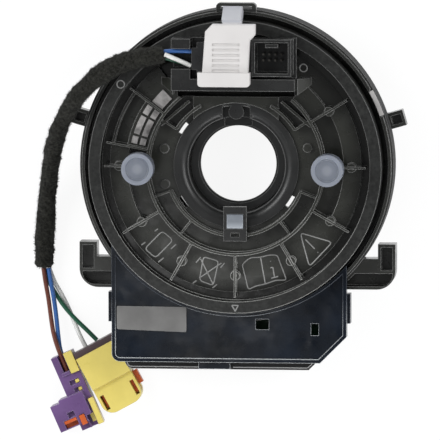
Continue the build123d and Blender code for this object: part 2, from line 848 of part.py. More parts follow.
# Soft caps: cups over the posts, with a dished top
cap_radius = 6.7
cap_skirt = 8.0
cap_top = 1.9
cap_rim = 1.5
cap_dish = 0.7

cap_level = post_top + cap_top
damping_caps = []
for side, name in ((-1, "left"), (1, "right")):
    with BuildPart() as damping_cap:
        with BuildSketch(Plane.XY.offset(cap_level)):
            with Locations((side * post_place, 0)):
                Circle(cap_radius)
        extrude(amount=-cap_skirt)
        with BuildSketch(Plane.XY.offset(post_top)):
            with Locations((side * post_place, 0)):
                Circle(post_radius)
        extrude(amount=-cap_skirt, mode=Mode.SUBTRACT)
        with BuildSketch(Plane.XY.offset(cap_level)):
            with Locations((side * post_place, 0)):
                Circle(cap_radius - cap_rim)
        extrude(amount=-cap_dish, taper=45, mode=Mode.SUBTRACT)
    damping_cap.part.label = f"damping_cap_{name}"
    damping_caps.append(damping_cap)

# Clip holder and pale clip across the hub band at the bottom
holder_width = 9.8
holder_reach = 31.4
holder_nose_reach = 3.2
holder_plate = 1.8
holder_slot_width = 3.6
holder_slot_height = 1.6
clip_width = 6.8
clip_length = 6.0
clip_inset = 0.4
clip_proud = 0.6

clip_outer_place = band_radius - clip_inset
clip_inner_place = clip_outer_place - clip_length
holder_nose = clip_inner_place - holder_nose_reach
holder_foot_place = hub_wall_radius + thin_wall + fit_gap
holder_level = flange_level - hub_wall_drop + seat_gap + holder_plate

with BuildPart() as clip_holder:
    with BuildSketch(Plane.XY.offset(holder_level)):
        with Locations((0, -holder_nose)):
            Rectangle(holder_width, holder_reach - holder_nose, align=(Align.CENTER, Align.MAX))
        with Locations((0, -clip_inner_place + fit_gap)):
            Rectangle(
                clip_width + 2 * fit_gap,
                clip_outer_place - clip_inner_place + 2 * fit_gap,
                align=(Align.CENTER, Align.MAX),
                mode=Mode.SUBTRACT,
            )
    extrude(amount=-holder_plate)
    with BuildSketch(Plane.XY.offset(holder_level)):
        with Locations((0, -holder_foot_place)):
            Rectangle(holder_width, holder_reach - holder_foot_place, align=(Align.CENTER, Align.MAX))
    extrude(amount=low_level - holder_level)
    with BuildSketch(Plane.XY.offset(holder_level)):
        with Locations((0, -(clip_outer_place + holder_reach) / 2)):
            Rectangle(holder_slot_width, holder_slot_height)
    extrude(amount=-holder_plate, mode=Mode.SUBTRACT)
clip_holder.part.label = "clip_holder"

with BuildPart() as hub_clip:
    with BuildSketch(Plane.XY.offset(band_level)):
        with Locations((0, -clip_inner_place)):
            Rectangle(clip_width, clip_outer_place - clip_inner_place, align=(Align.CENTER, Align.MAX))
    extrude(amount=holder_level + clip_proud - band_level)
    outer_top = hub_clip.edges().group_by(Axis.Z)[-1].filter_by(Axis.X)
    fillet(outer_top, clip_proud)
hub_clip.part.label = "hub_clip"

# Contact strips: two rows of tin plated conductors and the blade beside the socket block
strip_place = 39.0
strip_pitch = 3.6
strip_width = 2.5
strip_row_count = 2
strip_angles = ((145.0, 150.4), (151.8, 162.2), (163.6, 167.6))
blade_angles = (133.5, 142.4)
blade_width = 5.4

with BuildPart() as contact_strips:
    with BuildSketch(Plane.XY.offset(panel_level)):
        for row in range(strip_row_count):
            inner = strip_place + row * strip_pitch
            for start, end in strip_angles:
                ring_sector(inner, inner + strip_width, start, end)
        ring_sector(strip_place, strip_place + blade_width, *blade_angles)
    extrude(amount=strip_thickness)
contact_strips.part.label = "contact_strips"

# Socket block: rail, harness bay on the left and switch socket on the right
block_rise = 12.0
block_back = 54.9
block_plate = 2.6
rail_depth = 5.0
bay_wall = 4.2
bay_wall_length = 8.0
socket_left = 8.3
socket_right = 24.8
socket_front = 39.4
socket_rim = 1.3
socket_proud = 0.8
latch_rib_width = 5.4
latch_rib_depth = 1.6
latch_rib_place = 51.4
latch_rib_drop = 1.2
socket_pin_size = 0.8
socket_pin_columns = 4
socket_pin_rows = 2
socket_pin_pitch = 2.5
socket_pin_length = 6.0

block_level = flange_level + block_rise
bay_floor = flange_level + block_plate
socket_level = block_level + socket_proud
socket_width = socket_right - socket_left
socket_depth = block_back - socket_front
socket_centre = ((socket_left + socket_right) / 2, (socket_front + block_back) / 2)

with BuildPart() as socket_block:
    with BuildSketch(Plane.XY.offset(low_level)):
        with Locations((-block_left, block_front)):
            Rectangle(
                block_left + block_right,
                block_back - block_front,
                align=(Align.MIN, Align.MIN),
            )
        Circle(panel_radius, mode=Mode.INTERSECT)
    extrude(amount=flange_level - low_level)
    with BuildSketch(Plane.XY.offset(flange_level)):
        with Locations((-block_left, block_front)):
            Rectangle(
                block_left + block_right,
                block_back - block_front,
                align=(Align.MIN, Align.MIN),
            )
    extrude(amount=block_plate)
    with BuildSketch(Plane.XY.offset(bay_floor)):
        with Locations((-block_left, block_front)):
            Rectangle(block_left + block_right, rail_depth, align=(Align.MIN, Align.MIN))
            Rectangle(bay_wall_length, rail_depth + bay_wall, align=(Align.MIN, Align.MIN))
        with Locations((-block_left, block_back)):
            Rectangle(bay_wall_length, bay_wall, align=(Align.MIN, Align.MAX))
    extrude(amount=block_level - bay_floor)
    with BuildSketch(Plane.XY.offset(bay_floor)):
        with Locations(socket_centre):
            Rectangle(socket_width, socket_depth)
            Rectangle(
                socket_width - 2 * socket_rim,
                socket_depth - 2 * socket_rim,
                mode=Mode.SUBTRACT,
            )
        with Locations((socket_centre[0], latch_rib_place)):
            Rectangle(latch_rib_width, latch_rib_depth, align=(Align.CENTER, Align.MIN))
    extrude(amount=socket_level - bay_floor)
    with BuildSketch(Plane.XY.offset(socket_level)):
        with Locations((socket_centre[0], latch_rib_place)):
            Rectangle(latch_rib_width, latch_rib_depth, align=(Align.CENTER, Align.MIN))
    extrude(amount=-latch_rib_drop, mode=Mode.SUBTRACT)
socket_block.part.label = "socket_block"

with BuildPart() as socket_pins:
    with BuildSketch(Plane.XY.offset(bay_floor)):
        with Locations(socket_centre):
            with GridLocations(
                socket_pin_pitch, socket_pin_pitch, socket_pin_columns, socket_pin_rows
            ):
                Rectangle(socket_pin_size, socket_pin_size)
    extrude(amount=socket_pin_length)
socket_pins.part.label = "socket_pins"

# Harness plug in the bay, with interlocking tees at its wire side and a pocket for the lock
plug_front = 39.7
plug_back = 53.3
plug_left = 17.2
plug_drop = 1.2
tee_length = 2.2
tee_depth = 2.2
lock_foot_width = 9.0
lock_foot_depth = 6.0
lock_foot_length = 3.4
lock_foot_place = (-3.4, 46.5)

plug_level = block_level - plug_drop

with BuildPart() as harness_plug:
    with BuildSketch(Plane.XY.offset(bay_floor)):
        with Locations((-plug_left, plug_front)):
            Rectangle(
                plug_left + socket_left - fit_gap,
                plug_back - plug_front,
                align=(Align.MIN, Align.MIN),
            )
        for place, side in ((plug_front, Align.MIN), (plug_back, Align.MAX)):
            with Locations((-plug_left, place)):
                Rectangle(tee_length, tee_depth, align=(Align.MIN, side), mode=Mode.SUBTRACT)
    extrude(amount=plug_level - bay_floor)
    with BuildSketch(Plane.XY.offset(plug_level)):
        with Locations(lock_foot_place):
            Rectangle(lock_foot_width + 2 * seat_gap, lock_foot_depth + 2 * seat_gap)
    extrude(amount=-lock_foot_length - seat_gap, mode=Mode.SUBTRACT)
harness_plug.part.label = "harness_plug"

# Transport lock: pull tab with grip grooves, lower lip, side ear and the tongue to the eye
lock_back = 61.5
lock_front = 35.2
lock_lip_top = 40.7
lock_left = 12.4
lock_right = 7.0
lock_lip_left = 14.2
lock_lip_right = 7.8
lock_shoulder_left = 11.1
lock_shoulder_right = 7.7
lock_ear_reach = 10.0
lock_ear_drop = 4.4
lock_ear_slope = 2.6
lock_corner_width = 3.0
lock_corner_drop = 3.2
lock_thickness = 3.2
lock_lip_thickness = 4.6
lock_groove_count = 6
lock_groove_pitch = 2.2
lock_groove_width = 1.0
lock_groove_depth = 0.5
lock_groove_length = 11.4
lock_groove_place = (-2.4, 47.4)
tongue_width = 8.1
tongue_place = -0.6
tongue_wall = 1.7
tongue_inset = 1.3
tongue_hook = 2.2
tongue_lean = 0.8

lock_level = block_level + seat_gap
lock_top = lock_level + lock_thickness
tongue_level = rim_level + eye_proud + seat_gap
tongue_reach = eye_reach - tongue_inset
tongue_ramp_reach = tongue_reach - tongue_hook

with BuildPart() as lock_tongue:
    with BuildSketch(Plane.YZ.offset(tongue_place)):
        Polygon(
            (lock_back - lock_corner_width, lock_level),
            (lock_back - lock_corner_width, lock_level + tongue_wall),
            (lock_back + tongue_wall, lock_level + tongue_wall),
            (tongue_ramp_reach + tongue_wall, tongue_level + tongue_wall),
            (tongue_reach, tongue_level + tongue_wall),
            (tongue_reach, tongue_level),
            (tongue_ramp_reach, tongue_level),
            (lock_back, lock_level),
            align=None,
        )
    extrude(amount=tongue_width, both=True)
    # Its sides lean in plan
    with BuildSketch(Plane.XY.offset(tongue_level)):
        tongue_foot = tongue_place + tongue_lean
        tongue_head = tongue_place - tongue_lean
        Polygon(
            (tongue_foot - tongue_width / 2, lock_back - lock_corner_width),
            (tongue_foot + tongue_width / 2, lock_back - lock_corner_width),
            (tongue_foot + tongue_width / 2, lock_back),
            (tongue_head + tongue_width / 2, tongue_reach),
            (tongue_head - tongue_width / 2, tongue_reach),
            (tongue_foot - tongue_width / 2, lock_back),
            align=None,
        )
    extrude(amount=lock_top - tongue_level, mode=Mode.INTERSECT)

with BuildPart() as transport_lock:
    with BuildSketch(Plane.XY.offset(lock_level)):
        Polygon(
            (-lock_left, lock_lip_top),
            (lock_right, lock_lip_top),
            (lock_shoulder_right, lock_back - lock_ear_drop - lock_ear_slope),
            (lock_ear_reach, lock_back - lock_ear_drop),
            (lock_ear_reach, lock_back),
            (lock_corner_width - lock_shoulder_left, lock_back),
            (-lock_shoulder_left, lock_back - lock_corner_drop),
            align=None,
        )
    extrude(amount=lock_thickness)
    chamfer(transport_lock.faces().sort_by(Axis.Z)[-1].edges(), lock_groove_depth)
    with BuildSketch(Plane.XY.offset(lock_top)):
        with Locations(lock_groove_place):
            with GridLocations(lock_groove_length, lock_groove_pitch, 1, lock_groove_count):
                Rectangle(lock_groove_length, lock_groove_width)
    extrude(amount=-lock_groove_depth, mode=Mode.SUBTRACT)
    with BuildSketch(Plane.XY.offset(lock_level)):
        with Locations(((lock_lip_right - lock_lip_left) / 2, lock_front)):
            Rectangle(
                lock_lip_left + lock_lip_right,
                lock_lip_top - lock_front + lock_groove_depth,
                align=(Align.CENTER, Align.MIN),
            )
        fillet(vertices(Select.LAST).group_by(Axis.Y)[0], lock_corner_width / 2)
    extrude(amount=lock_lip_thickness)
    with BuildSketch(Plane.XY.offset(lock_level)):
        with Locations(lock_foot_place):
            Rectangle(lock_foot_width, lock_foot_depth)
    extrude(amount=plug_level - lock_level - lock_foot_length)
    add(lock_tongue.part)
transport_lock.part.label = "transport_lock"

# Airbag connectors lying on the surface beside and under the sensor box
yellow_width = 18.3
yellow_length = 30.3
yellow_height = 10.6
yellow_place = (-63.2, -78.4)
yellow_turn = 28.7
yellow_round = 5.0
yellow_cap_depth = 2.6
yellow_cap_drop = 0.9
yellow_step = 1.4
yellow_crease_place = 17.6
yellow_slot_width = 1.7
yellow_slot_length = 6.6
yellow_slot_inset = 2.0
yellow_slot_place = 24.6
yellow_lock_level = 3.2
yellow_lock_height = 3.4
yellow_lock_inset = 1.3
yellow_lock_start = 18.0
yellow_lock_end = 27.4
yellow_lock_tab = 6.0
yellow_lock_proud = 2.0

yellow_plane = Plane(origin=(*yellow_place, 0), z_dir=(0, 0, 1)).rotated((0, 0, yellow_turn))

with BuildPart() as yellow_connector:
    with BuildSketch(yellow_plane):
        with Locations((0, -yellow_cap_depth)):
            Rectangle(yellow_width, yellow_length - yellow_cap_depth, align=(Align.CENTER, Align.MAX))
        fillet(vertices().group_by(Axis.Y)[0], yellow_round)
    extrude(amount=yellow_height)
    with BuildSketch(yellow_plane.offset(yellow_height)):
        with Locations((0, -yellow_length)):
            Rectangle(
                yellow_width,
                yellow_length - yellow_crease_place,
                align=(Align.CENTER, Align.MIN),
            )
    extrude(amount=-yellow_step, mode=Mode.SUBTRACT)
    # Track of the position lock, open at the right side, and the slots above it
    with BuildSketch(yellow_plane.offset(yellow_lock_level)):
        with Locations((yellow_lock_inset - yellow_width / 2, -yellow_lock_start)):
            Rectangle(
                yellow_width,
                yellow_lock_end - yellow_lock_start,
                align=(Align.MIN, Align.MAX),
            )
    extrude(amount=yellow_lock_height, mode=Mode.SUBTRACT)
    with BuildSketch(yellow_plane.offset(yellow_lock_level)):
        with Locations((0, -yellow_slot_place)):
            with GridLocations(yellow_width - 2 * yellow_slot_inset, yellow_slot_length, 2, 1):
                Rectangle(yellow_slot_width, yellow_slot_length)
    extrude(amount=yellow_height, mode=Mode.SUBTRACT)
yellow_connector.part.label = "yellow_connector"

with BuildPart() as yellow_cell_cap:
    with BuildSketch(yellow_plane):
        Rectangle(yellow_width, yellow_cap_depth, align=(Align.CENTER, Align.MAX))
    extrude(amount=yellow_height - yellow_cap_drop)
yellow_cell_cap.part.label = "yellow_cell_cap"

with BuildPart() as yellow_lock:
    with BuildSketch(yellow_plane.offset(yellow_lock_level + fit_gap)):
        with Locations((0, -yellow_lock_start - seat_gap)):
            Rectangle(
                yellow_width - 2 * yellow_lock_inset - 2 * seat_gap,
                yellow_lock_end - yellow_lock_start - 2 * seat_gap,
                align=(Align.CENTER, Align.MAX),
            )
            Rectangle(
                yellow_width / 2 + yellow_lock_proud,
                yellow_lock_tab,
                align=(Align.MIN, Align.MAX),
            )
    extrude(amount=yellow_lock_height - 2 * fit_gap)
yellow_lock.part.label = "yellow_lock"

# Purple connector: places are measured across and along from its wire end's left corner
purple_place = (-80.9, -85.2)
purple_turn = 23.6
purple_width = 9.6
purple_length = 33.3
purple_height = 8.4
purple_block = ((-8.2, 18.6), (7.0, 30.3))
purple_block_step = ((-3.9, 17.4), (7.0, 18.6))
purple_block_height = 10.6
purple_trough = ((2.9, 0), (5.5, 7.4))
purple_trough_floor = 2.8
purple_ridge = ((1.8, 7.6), (5.4, 8.8))
purple_ridge_height = 9.2
purple_notches = (((3.4, 11.7), (7.7, 13.7)), ((4.0, 15.3), (7.5, 17.2)))
purple_window = ((-2.6, 23.6), (0.4, 26.0))
purple_window_depth = 1.6
purple_recess = ((4.7, 27.7), (7.6, 30.3))
purple_recess_depth = 5.0
retainer_plate = ((5.8, 0), (9.6, 31.5))
retainer_head = ((5.8, -0.2), (9.6, 9.0))
retainer_tail = ((7.9, 21.5), (10.2, 33.3))
retainer_tees = (((5.9, 12.0), (7.6, 13.4)), ((5.9, 15.6), (7.4, 16.9)))
retainer_level = 5.9
retainer_plate_height = 1.2
retainer_head_height = 3.7
retainer_tee_height = 2.3
lock_plate = ((-5.2, 26.6), (4.0, 30.3))
lock_bar = ((-5.2, 26.6), (0.3, 27.9))
lock_button = ((1.7, 26.6), (4.0, 30.9))
lock_level = 6.9
lock_plate_height = 1.4
lock_bar_height = 3.5
lock_button_height = 4.2
purple_lock_travel = 1.8

purple_plane = Plane(origin=(*purple_place, 0), z_dir=(0, 0, 1)).rotated((0, 0, purple_turn))
retainer_top = retainer_level + retainer_plate_height


def along_box(corners, gap=0, far_gap=0, mode=Mode.ADD):
    """Rectangle between two (across, along) corners, made larger by a gap on every side."""
    (left, start), (right, end) = corners
    with Locations((left - gap, gap - start)):
        Rectangle(
            right - left + 2 * gap,
            end - start + 2 * gap + far_gap,
            align=(Align.MIN, Align.MAX),
            mode=mode,
        )


with BuildPart() as purple_connector:
    with BuildSketch(purple_plane):
        Rectangle(purple_width, purple_length, align=(Align.MIN, Align.MAX))
    extrude(amount=purple_height)
    with BuildSketch(purple_plane):
        along_box(purple_block)
        along_box(purple_block_step)
    extrude(amount=purple_block_height)
    with BuildSketch(purple_plane.offset(purple_trough_floor)):
        along_box(purple_trough)
    extrude(amount=purple_height, mode=Mode.SUBTRACT)
    with BuildSketch(purple_plane.offset(purple_height)):
        along_box(purple_ridge)
    extrude(amount=purple_ridge_height - purple_height)
    # Slot for the retainer's plate, with pockets for its head, its tail and its tees
    with BuildSketch(purple_plane.offset(retainer_level - fit_gap)):
        along_box(retainer_plate, fit_gap)
    extrude(amount=retainer_plate_height + 2 * fit_gap, mode=Mode.SUBTRACT)
    with BuildSketch(purple_plane.offset(retainer_top)):
        along_box(retainer_head, fit_gap)
        along_box(retainer_tail, fit_gap, overrun)
        for notch in purple_notches:
            along_box(notch)
    extrude(amount=purple_block_height - retainer_top, mode=Mode.SUBTRACT)
    with BuildSketch(purple_plane.offset(retainer_level - fit_gap)):
        along_box(retainer_tail, fit_gap, overrun)
    extrude(amount=purple_block_height, mode=Mode.SUBTRACT)
    with BuildSketch(purple_plane.offset(purple_block_height)):
        along_box(purple_window)
    extrude(amount=-purple_window_depth, mode=Mode.SUBTRACT)
    with BuildSketch(purple_plane.offset(purple_block_height)):
        along_box(purple_recess, 0, purple_length)
    extrude(amount=-purple_recess_depth, mode=Mode.SUBTRACT)
    # Track of the position lock: a covered slot and two openings, all open to the mating end
    with BuildSketch(purple_plane.offset(lock_level - fit_gap)):
        along_box(lock_plate, fit_gap, purple_length)
    extrude(amount=lock_plate_height + 2 * fit_gap, mode=Mode.SUBTRACT)
    with BuildSketch(purple_plane.offset(lock_level)):
        along_box(lock_bar, fit_gap, purple_lock_travel)
        along_box(lock_button, fit_gap, purple_length)
    extrude(amount=purple_block_height, mode=Mode.SUBTRACT)
purple_connector.part.label = "purple_connector"

with BuildPart() as purple_retainer:
    with BuildSketch(purple_plane.offset(retainer_level)):
        along_box(retainer_plate)
        along_box(retainer_tail)
    extrude(amount=retainer_plate_height)
    with BuildSketch(purple_plane.offset(retainer_level)):
        along_box(retainer_head)
        along_box(retainer_tail)
    extrude(amount=retainer_head_height)
    with BuildSketch(purple_plane.offset(retainer_level)):
        for tee in retainer_tees:
            along_box(tee)
    extrude(amount=retainer_tee_height)
purple_retainer.part.label = "purple_retainer"

with BuildPart() as purple_lock:
    with BuildSketch(purple_plane.offset(lock_level)):
        along_box(lock_plate)
    extrude(amount=lock_plate_height)
    with BuildSketch(purple_plane.offset(lock_level)):
        along_box(lock_bar)
    extrude(amount=lock_bar_height)
    with BuildSketch(purple_plane.offset(lock_level)):
        along_box(lock_button)
    extrude(amount=lock_button_height)
purple_lock.part.label = "purple_lock"

# Leads, loom and wires. Their points are chosen by hand along the real routes
lead_diameter = 1.9
loom_diameter = 7.5
arc_share = 0.45

lead_blue_points = [
    (-29.0, 49.2, 45.6),
    (-23.2, 49.65, 46.1),
    (-17.3, 49.5, 46.2),
]
lead_white_points = [
    (-28.65, 48.2, 47.7),
    (-23.0, 45.9, 47.4),
    (-17.5, 43.4, 47.0),
]
lead_green_points = [
    (-28.5, 46.55, 45.0),
    (-22.9, 45.0, 44.8),
    (-17.5, 43.35, 44.4),
]
loom_points = [
    (-29.0, 47.8, 45.2),
    (-39.5, 46.3, 45.1),
    (-50.0, 42.3, 44.3),
    (-59.6, 36.0, 41.7),
    (-67.8, 27.4, 36.8),
    (-73.3, 17.6, 29.6),
    (-76.9, 6.9, 20.8),
    (-79.6, -4.1, 13.3),
    (-81.4, -15.2, 7.8),
    (-82.6, -26.4, 4.7),
    (-83.3, -37.0, 3.8),
    (-83.4, -46.4, 3.75),
]
wire_brown_points = [
    (-84.3, -46.65, 4.9),
    (-83.6, -52.0, 4.9),
    (-82.2, -59.5, 4.6),
    (-81.2, -67.5, 4.8),
    (-80.0, -75.0, 5.6),
    (-77.17, -83.25, 6.6),
    (-74.1, -90.28, 6.6),
]
wire_blue_points = [
    (-82.1, -46.65, 4.9),
    (-81.3, -52.0, 4.9),
    (-79.9, -59.5, 4.6),
    (-78.9, -67.5, 4.4),
    (-78.2, -75.0, 4.2),
    (-77.17, -83.25, 4.1),
    (-74.1, -90.28, 4.1),
]
wire_green_points = [
    (-84.3, -46.75, 2.6),
    (-82.9, -51.8, 2.4),
    (-79.6, -57.4, 2.6),
    (-75.6, -63.2, 3.8),
    (-70.6, -68.6, 4.4),
    (-65.6, -73.2, 4.6),
    (-61.57, -77.23, 4.6),
]
wire_white_points = [
    (-82.1, -46.8, 2.6),
    (-80.5, -51.8, 2.4),
    (-77.0, -58.0, 1.5),
    (-73.7, -64.5, 1.5),
    (-71.1, -71.0, 1.9),
    (-68.56, -76.2, 4.2),
    (-66.4, -80.14, 4.2),
]


def corner_radii(points):
    """Arc radius at each corner of a route, as large as its two runs allow."""
    radii = []
    for before, corner, after in zip(points, points[1:], points[2:]):
        arriving = Vector(*corner) - Vector(*before)
        leaving = Vector(*after) - Vector(*corner)
        half_turn = radians(arriving.get_angle(leaving) / 2)
        radii.append(arc_share * min(arriving.length, leaving.length) / tan(half_turn))
    return radii


def cord_tube(points, diameter, label):
    """Plain tube along straight runs joined by tangent arcs."""
    radii = corner_radii(points)
    with BuildPart() as tube:
        with BuildLine() as route:
            FilletPolyline(*points, radius=radii)
        with BuildSketch(Plane(origin=route.line @ 0, z_dir=route.line % 0)):
            Circle(diameter / 2)
        sweep()
    tube.part.label = label
    length = sum(edge.length for edge in route.edges())
    expected = length * pi * diameter**2 / 4
    print(
        f"{label}: length {length:.1f}, volume/expected",
        f"{tube.part.volume / expected:.4f}, radii/diameter",
        [round(radius / diameter, 1) for radius in radii],
    )
    return tube


cords = [
    cord_tube(lead_blue_points, lead_diameter, "lead_blue"),
    cord_tube(lead_white_points, lead_diameter, "lead_white"),
    cord_tube(lead_green_points, lead_diameter, "lead_green"),
    cord_tube(loom_points, loom_diameter, "taped_loom"),
    cord_tube(wire_brown_points, lead_diameter, "wire_brown"),
    cord_tube(wire_blue_points, lead_diameter, "wire_blue"),
    cord_tube(wire_green_points, lead_diameter, "wire_green"),
    cord_tube(wire_white_points, lead_diameter, "wire_white"),
]

pieces = [
    stator_housing,
    rear_shell,
    sensor_cover,
    circuit_board,
    angle_sensors,
    vehicle_header,
    header_pins,
    drive_gear,
    *measuring_gears,
    *magnets,
    flat_cable,
    rotor_sleeve,
    rotor_disc,
    *damping_caps,
    clip_holder,
    hub_clip,
    contact_strips,
    socket_block,
    socket_pins,
    harness_plug,
    transport_lock,
    yellow_connector,
    yellow_cell_cap,
    yellow_lock,
    purple_connector,
    purple_lock,
    purple_retainer,
    *cords,
]
for piece in pieces:
    export_step(piece.part, f"parts/{piece.part.label}.step")
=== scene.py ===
"""Looks of the steering clock spring: camera, light, materials, cords and fine moulded detail.

Sizes, places and levels are in millimetres, and those of the studio round the part in metres."""
import math
import random
from collections import namedtuple

import bmesh
import bpy
from mathutils import Matrix, Vector, noise


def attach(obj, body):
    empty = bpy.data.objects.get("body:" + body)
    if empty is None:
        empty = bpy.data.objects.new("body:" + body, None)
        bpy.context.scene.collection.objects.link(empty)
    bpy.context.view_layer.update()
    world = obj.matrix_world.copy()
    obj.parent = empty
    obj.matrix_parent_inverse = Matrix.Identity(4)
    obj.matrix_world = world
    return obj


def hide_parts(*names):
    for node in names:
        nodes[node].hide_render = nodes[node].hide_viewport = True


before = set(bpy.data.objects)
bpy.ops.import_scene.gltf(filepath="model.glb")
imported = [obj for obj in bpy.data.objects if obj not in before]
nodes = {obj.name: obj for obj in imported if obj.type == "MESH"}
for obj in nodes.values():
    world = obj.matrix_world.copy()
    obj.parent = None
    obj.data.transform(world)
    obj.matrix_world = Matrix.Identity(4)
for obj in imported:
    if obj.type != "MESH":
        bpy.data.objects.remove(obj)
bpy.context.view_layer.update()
random.seed(11)

MM = 0.001

# Levels, radii and places of the solids that the looks follow
PANEL_LEVEL = 33.2
FLANGE_LEVEL = 37.6
COVER_LEVEL = 30.8
RIM_LEVEL = 30.0
FOOT_LEVEL = 22.0
DISH_INNER_RADIUS = 47.0
DISH_OUTER_RADIUS = 53.2
FLANGE_INNER_RADIUS = 56.8
RIM_SIDE_RADIUS = 65.6
RIM_OUTER_RADIUS = 66.5
CAP_OFFSET = 39.9

# Stretches along Y over which a tone or a finish changes. Over the pocket, cover and foot stretches the
# edge tone brightens into a painted highlight, and over the clip stretch the clip turns lighter as a
# painted sheen
POCKET_HIGHLIGHT_STRETCH = (-10.0, -42.0)
COVER_HIGHLIGHT_STRETCH = (-56.0, -76.0)
FOOT_MATT_STRETCH = (-78.0, -79.0)
FOOT_HIGHLIGHT_STRETCH = (-79.0, -82.0)
CLIP_SHEEN_STRETCH = (-23.0, -25.9)
LOCK_STRETCH = (61.0, 62.5)


# Nodes that the materials are made of
def node_tree(name):
    """New material, its nodes and its main shader."""
    mat = bpy.data.materials.new(name)
    mat.use_nodes = True
    tree = mat.node_tree
    return mat, tree, tree.nodes["Principled BSDF"]


def feed(tree, socket, value):
    """Links a socket to the output of another node, or gives it a plain value."""
    if isinstance(value, bpy.types.NodeSocket):
        tree.links.new(value, socket)
    elif socket.type == "RGBA":
        socket.default_value = (*value, 1)
    else:
        socket.default_value = value


def give(tree, node, **values):
    """Gives a node its settings, and feeds the sockets of the other names."""
    for key, value in values.items():
        if hasattr(node, key):
            setattr(node, key, value)
        else:
            feed(tree, node.inputs[key.replace("_", " ")], value)
    return node


def add(tree, kind, **values):
    """Adds a node of a kind, with its settings and sockets."""
    return give(tree, tree.nodes.new(kind), **values)


def maths(tree, operation, *values, kind="ShaderNodeMath", out="Value"):
    """Result of one operation on numbers or on vectors."""
    node = add(tree, kind, operation=operation)
    for socket, value in zip(node.inputs, values):
        feed(tree, socket, value)
    return node.outputs[out]


def mixed(tree, factor, first, second, kind="RGBA"):
    """Mix of two colours, or of two numbers where the kind is FLOAT."""
    node = add(tree, "ShaderNodeMix", data_type=kind)
    wanted = "VALUE" if kind == "FLOAT" else kind
    feed(tree, node.inputs["Factor"], factor)
    for name, value in (("A", first), ("B", second)):
        feed(tree, next(s for s in node.inputs if s.name == name and s.type == wanted), value)
    return next(s for s in node.outputs if s.type == wanted)


def remap(tree, value, start, end, low, high):
    """The value from start to end, spread from low to high and held there."""
    spread = dict(From_Min=start, From_Max=end, To_Min=low, To_Max=high)
    return add(tree, "ShaderNodeMapRange", Value=value, **spread).outputs["Result"]


def object_coords(tree):
    """Places on a piece, in metres from the part's origin."""
    return add(tree, "ShaderNodeTexCoord").outputs["Object"]


def along_y(tree, coords, start, end):
    """Rises from 0 to 1 between two places along Y."""
    place = add(tree, "ShaderNodeSeparateXYZ", Vector=coords).outputs["Y"]
    return remap(tree, place, start * MM, end * MM, 0, 1)


def off_axis(tree, coords, start, end, low=0, high=1):
    """Runs from low to high between two radii about the axis."""
    vectors = "ShaderNodeVectorMath"
    flat = maths(tree, "MULTIPLY", coords, (1, 1, 0), kind=vectors, out="Vector")
    radius = maths(tree, "LENGTH", flat, kind=vectors)
    return remap(tree, radius, start * MM, end * MM, low, high)


def bumped(tree, height, depth, strength=1.0, **under):
    """Normal of a surface that a height raises by up to depth, over the normal under it."""
    bump = add(tree, "ShaderNodeBump", Strength=strength, Distance=depth * MM, Height=height, **under)
    return bump.outputs["Normal"]


# Clouds of noise: how fine, and the two values of it that are spread over the range in use
Cloud = namedtuple("Cloud", "scale detail roughness start end", defaults=(0.55, 0.3, 0.7))
TONE_CLOUD = Cloud(70.0, 4.0)
GLOSS_CLOUD = Cloud(120.0, 5.0, 0.6, 0.35, 0.65)
SPECKLE_CLOUD = Cloud(650.0, 4.0, 0.7, 0.38, 0.64)
SWAY_CLOUD = Cloud(45.0, 2.0)
GRAIN_CLOUD = Cloud(2600.0, 2.0)
DULL_CLOUD = Cloud(170.0, 4.0, start=0.36, end=0.6)
ROLLED_CLOUD = Cloud(1500.0, 5.0)
CLUMP_CLOUD = Cloud(240.0, 4.0)
FELT_CLOUD = Cloud(950.0, 6.0, 0.75, 0.42, 0.66)


def plain_cloud(tree, coords, cloud):
    """A cloud of noise as it is."""
    fine = dict(Scale=cloud.scale, Detail=cloud.detail, Roughness=cloud.roughness)
    return add(tree, "ShaderNodeTexNoise", Vector=coords, **fine).outputs["Fac"]


def spread_cloud(tree, coords, cloud, low=0, high=1):
    """A cloud of noise spread from low to high."""
    return remap(tree, plain_cloud(tree, coords, cloud), cloud.start, cloud.end, low, high)


# Materials, with what all moulded plastics have in common first
LEAST_ROUGH = 0.04
COAT_ROUGH = 0.06
EDGE_SAMPLES = 6
FLAT_LIKENESS = 0.995
EDGE_LIKENESS = 0.9
SWAY_DEPTH = 1.2
GRAIN_DEPTH = 0.2
# Soft sink: share of painted shade that darkens it towards its outer radius, the tone of that shade, and
# the curve of its bump
SINK_SHADE = 0.75
SINK_SHADE_TONE = 0.2
SINK_CURVE = 0.5
FINISH_BLEND = 0.3
FINISH_DARK = 0.45
FINISH_LIGHT = 1.7
BAND_SHARE = 0.75


def scaled(colour, factor):
    """A colour made darker or lighter."""
    return tuple(min(1.0, c * factor) for c in colour)


def faded(tree, coords, tone, fade):
    """The tone, or its change into another one along Y where there is a fade."""
    if not fade:
        return tone
    start, end, far_colour = fade
    return mixed(tree, along_y(tree, coords, start, end), tone, far_colour)


def edges_worn_and_lit(tree, radius, strength):
    """Rises along the moulded edges, which are rounded. The tone it lays there is partly polish from
    handling and partly painted light: a painted highlight on most parts, painted shade on the yellow
    connector.
    """
    bevel = add(tree, "ShaderNodeBevel", samples=EDGE_SAMPLES, Radius=radius * MM)
    soft_normal = bevel.outputs["Normal"]
    flat_normal = add(tree, "ShaderNodeNewGeometry").outputs["Normal"]
    likeness = maths(tree, "DOT_PRODUCT", soft_normal, flat_normal, kind="ShaderNodeVectorMath")
    return remap(tree, likeness, FLAT_LIKENESS, EDGE_LIKENESS, 0, strength), soft_normal


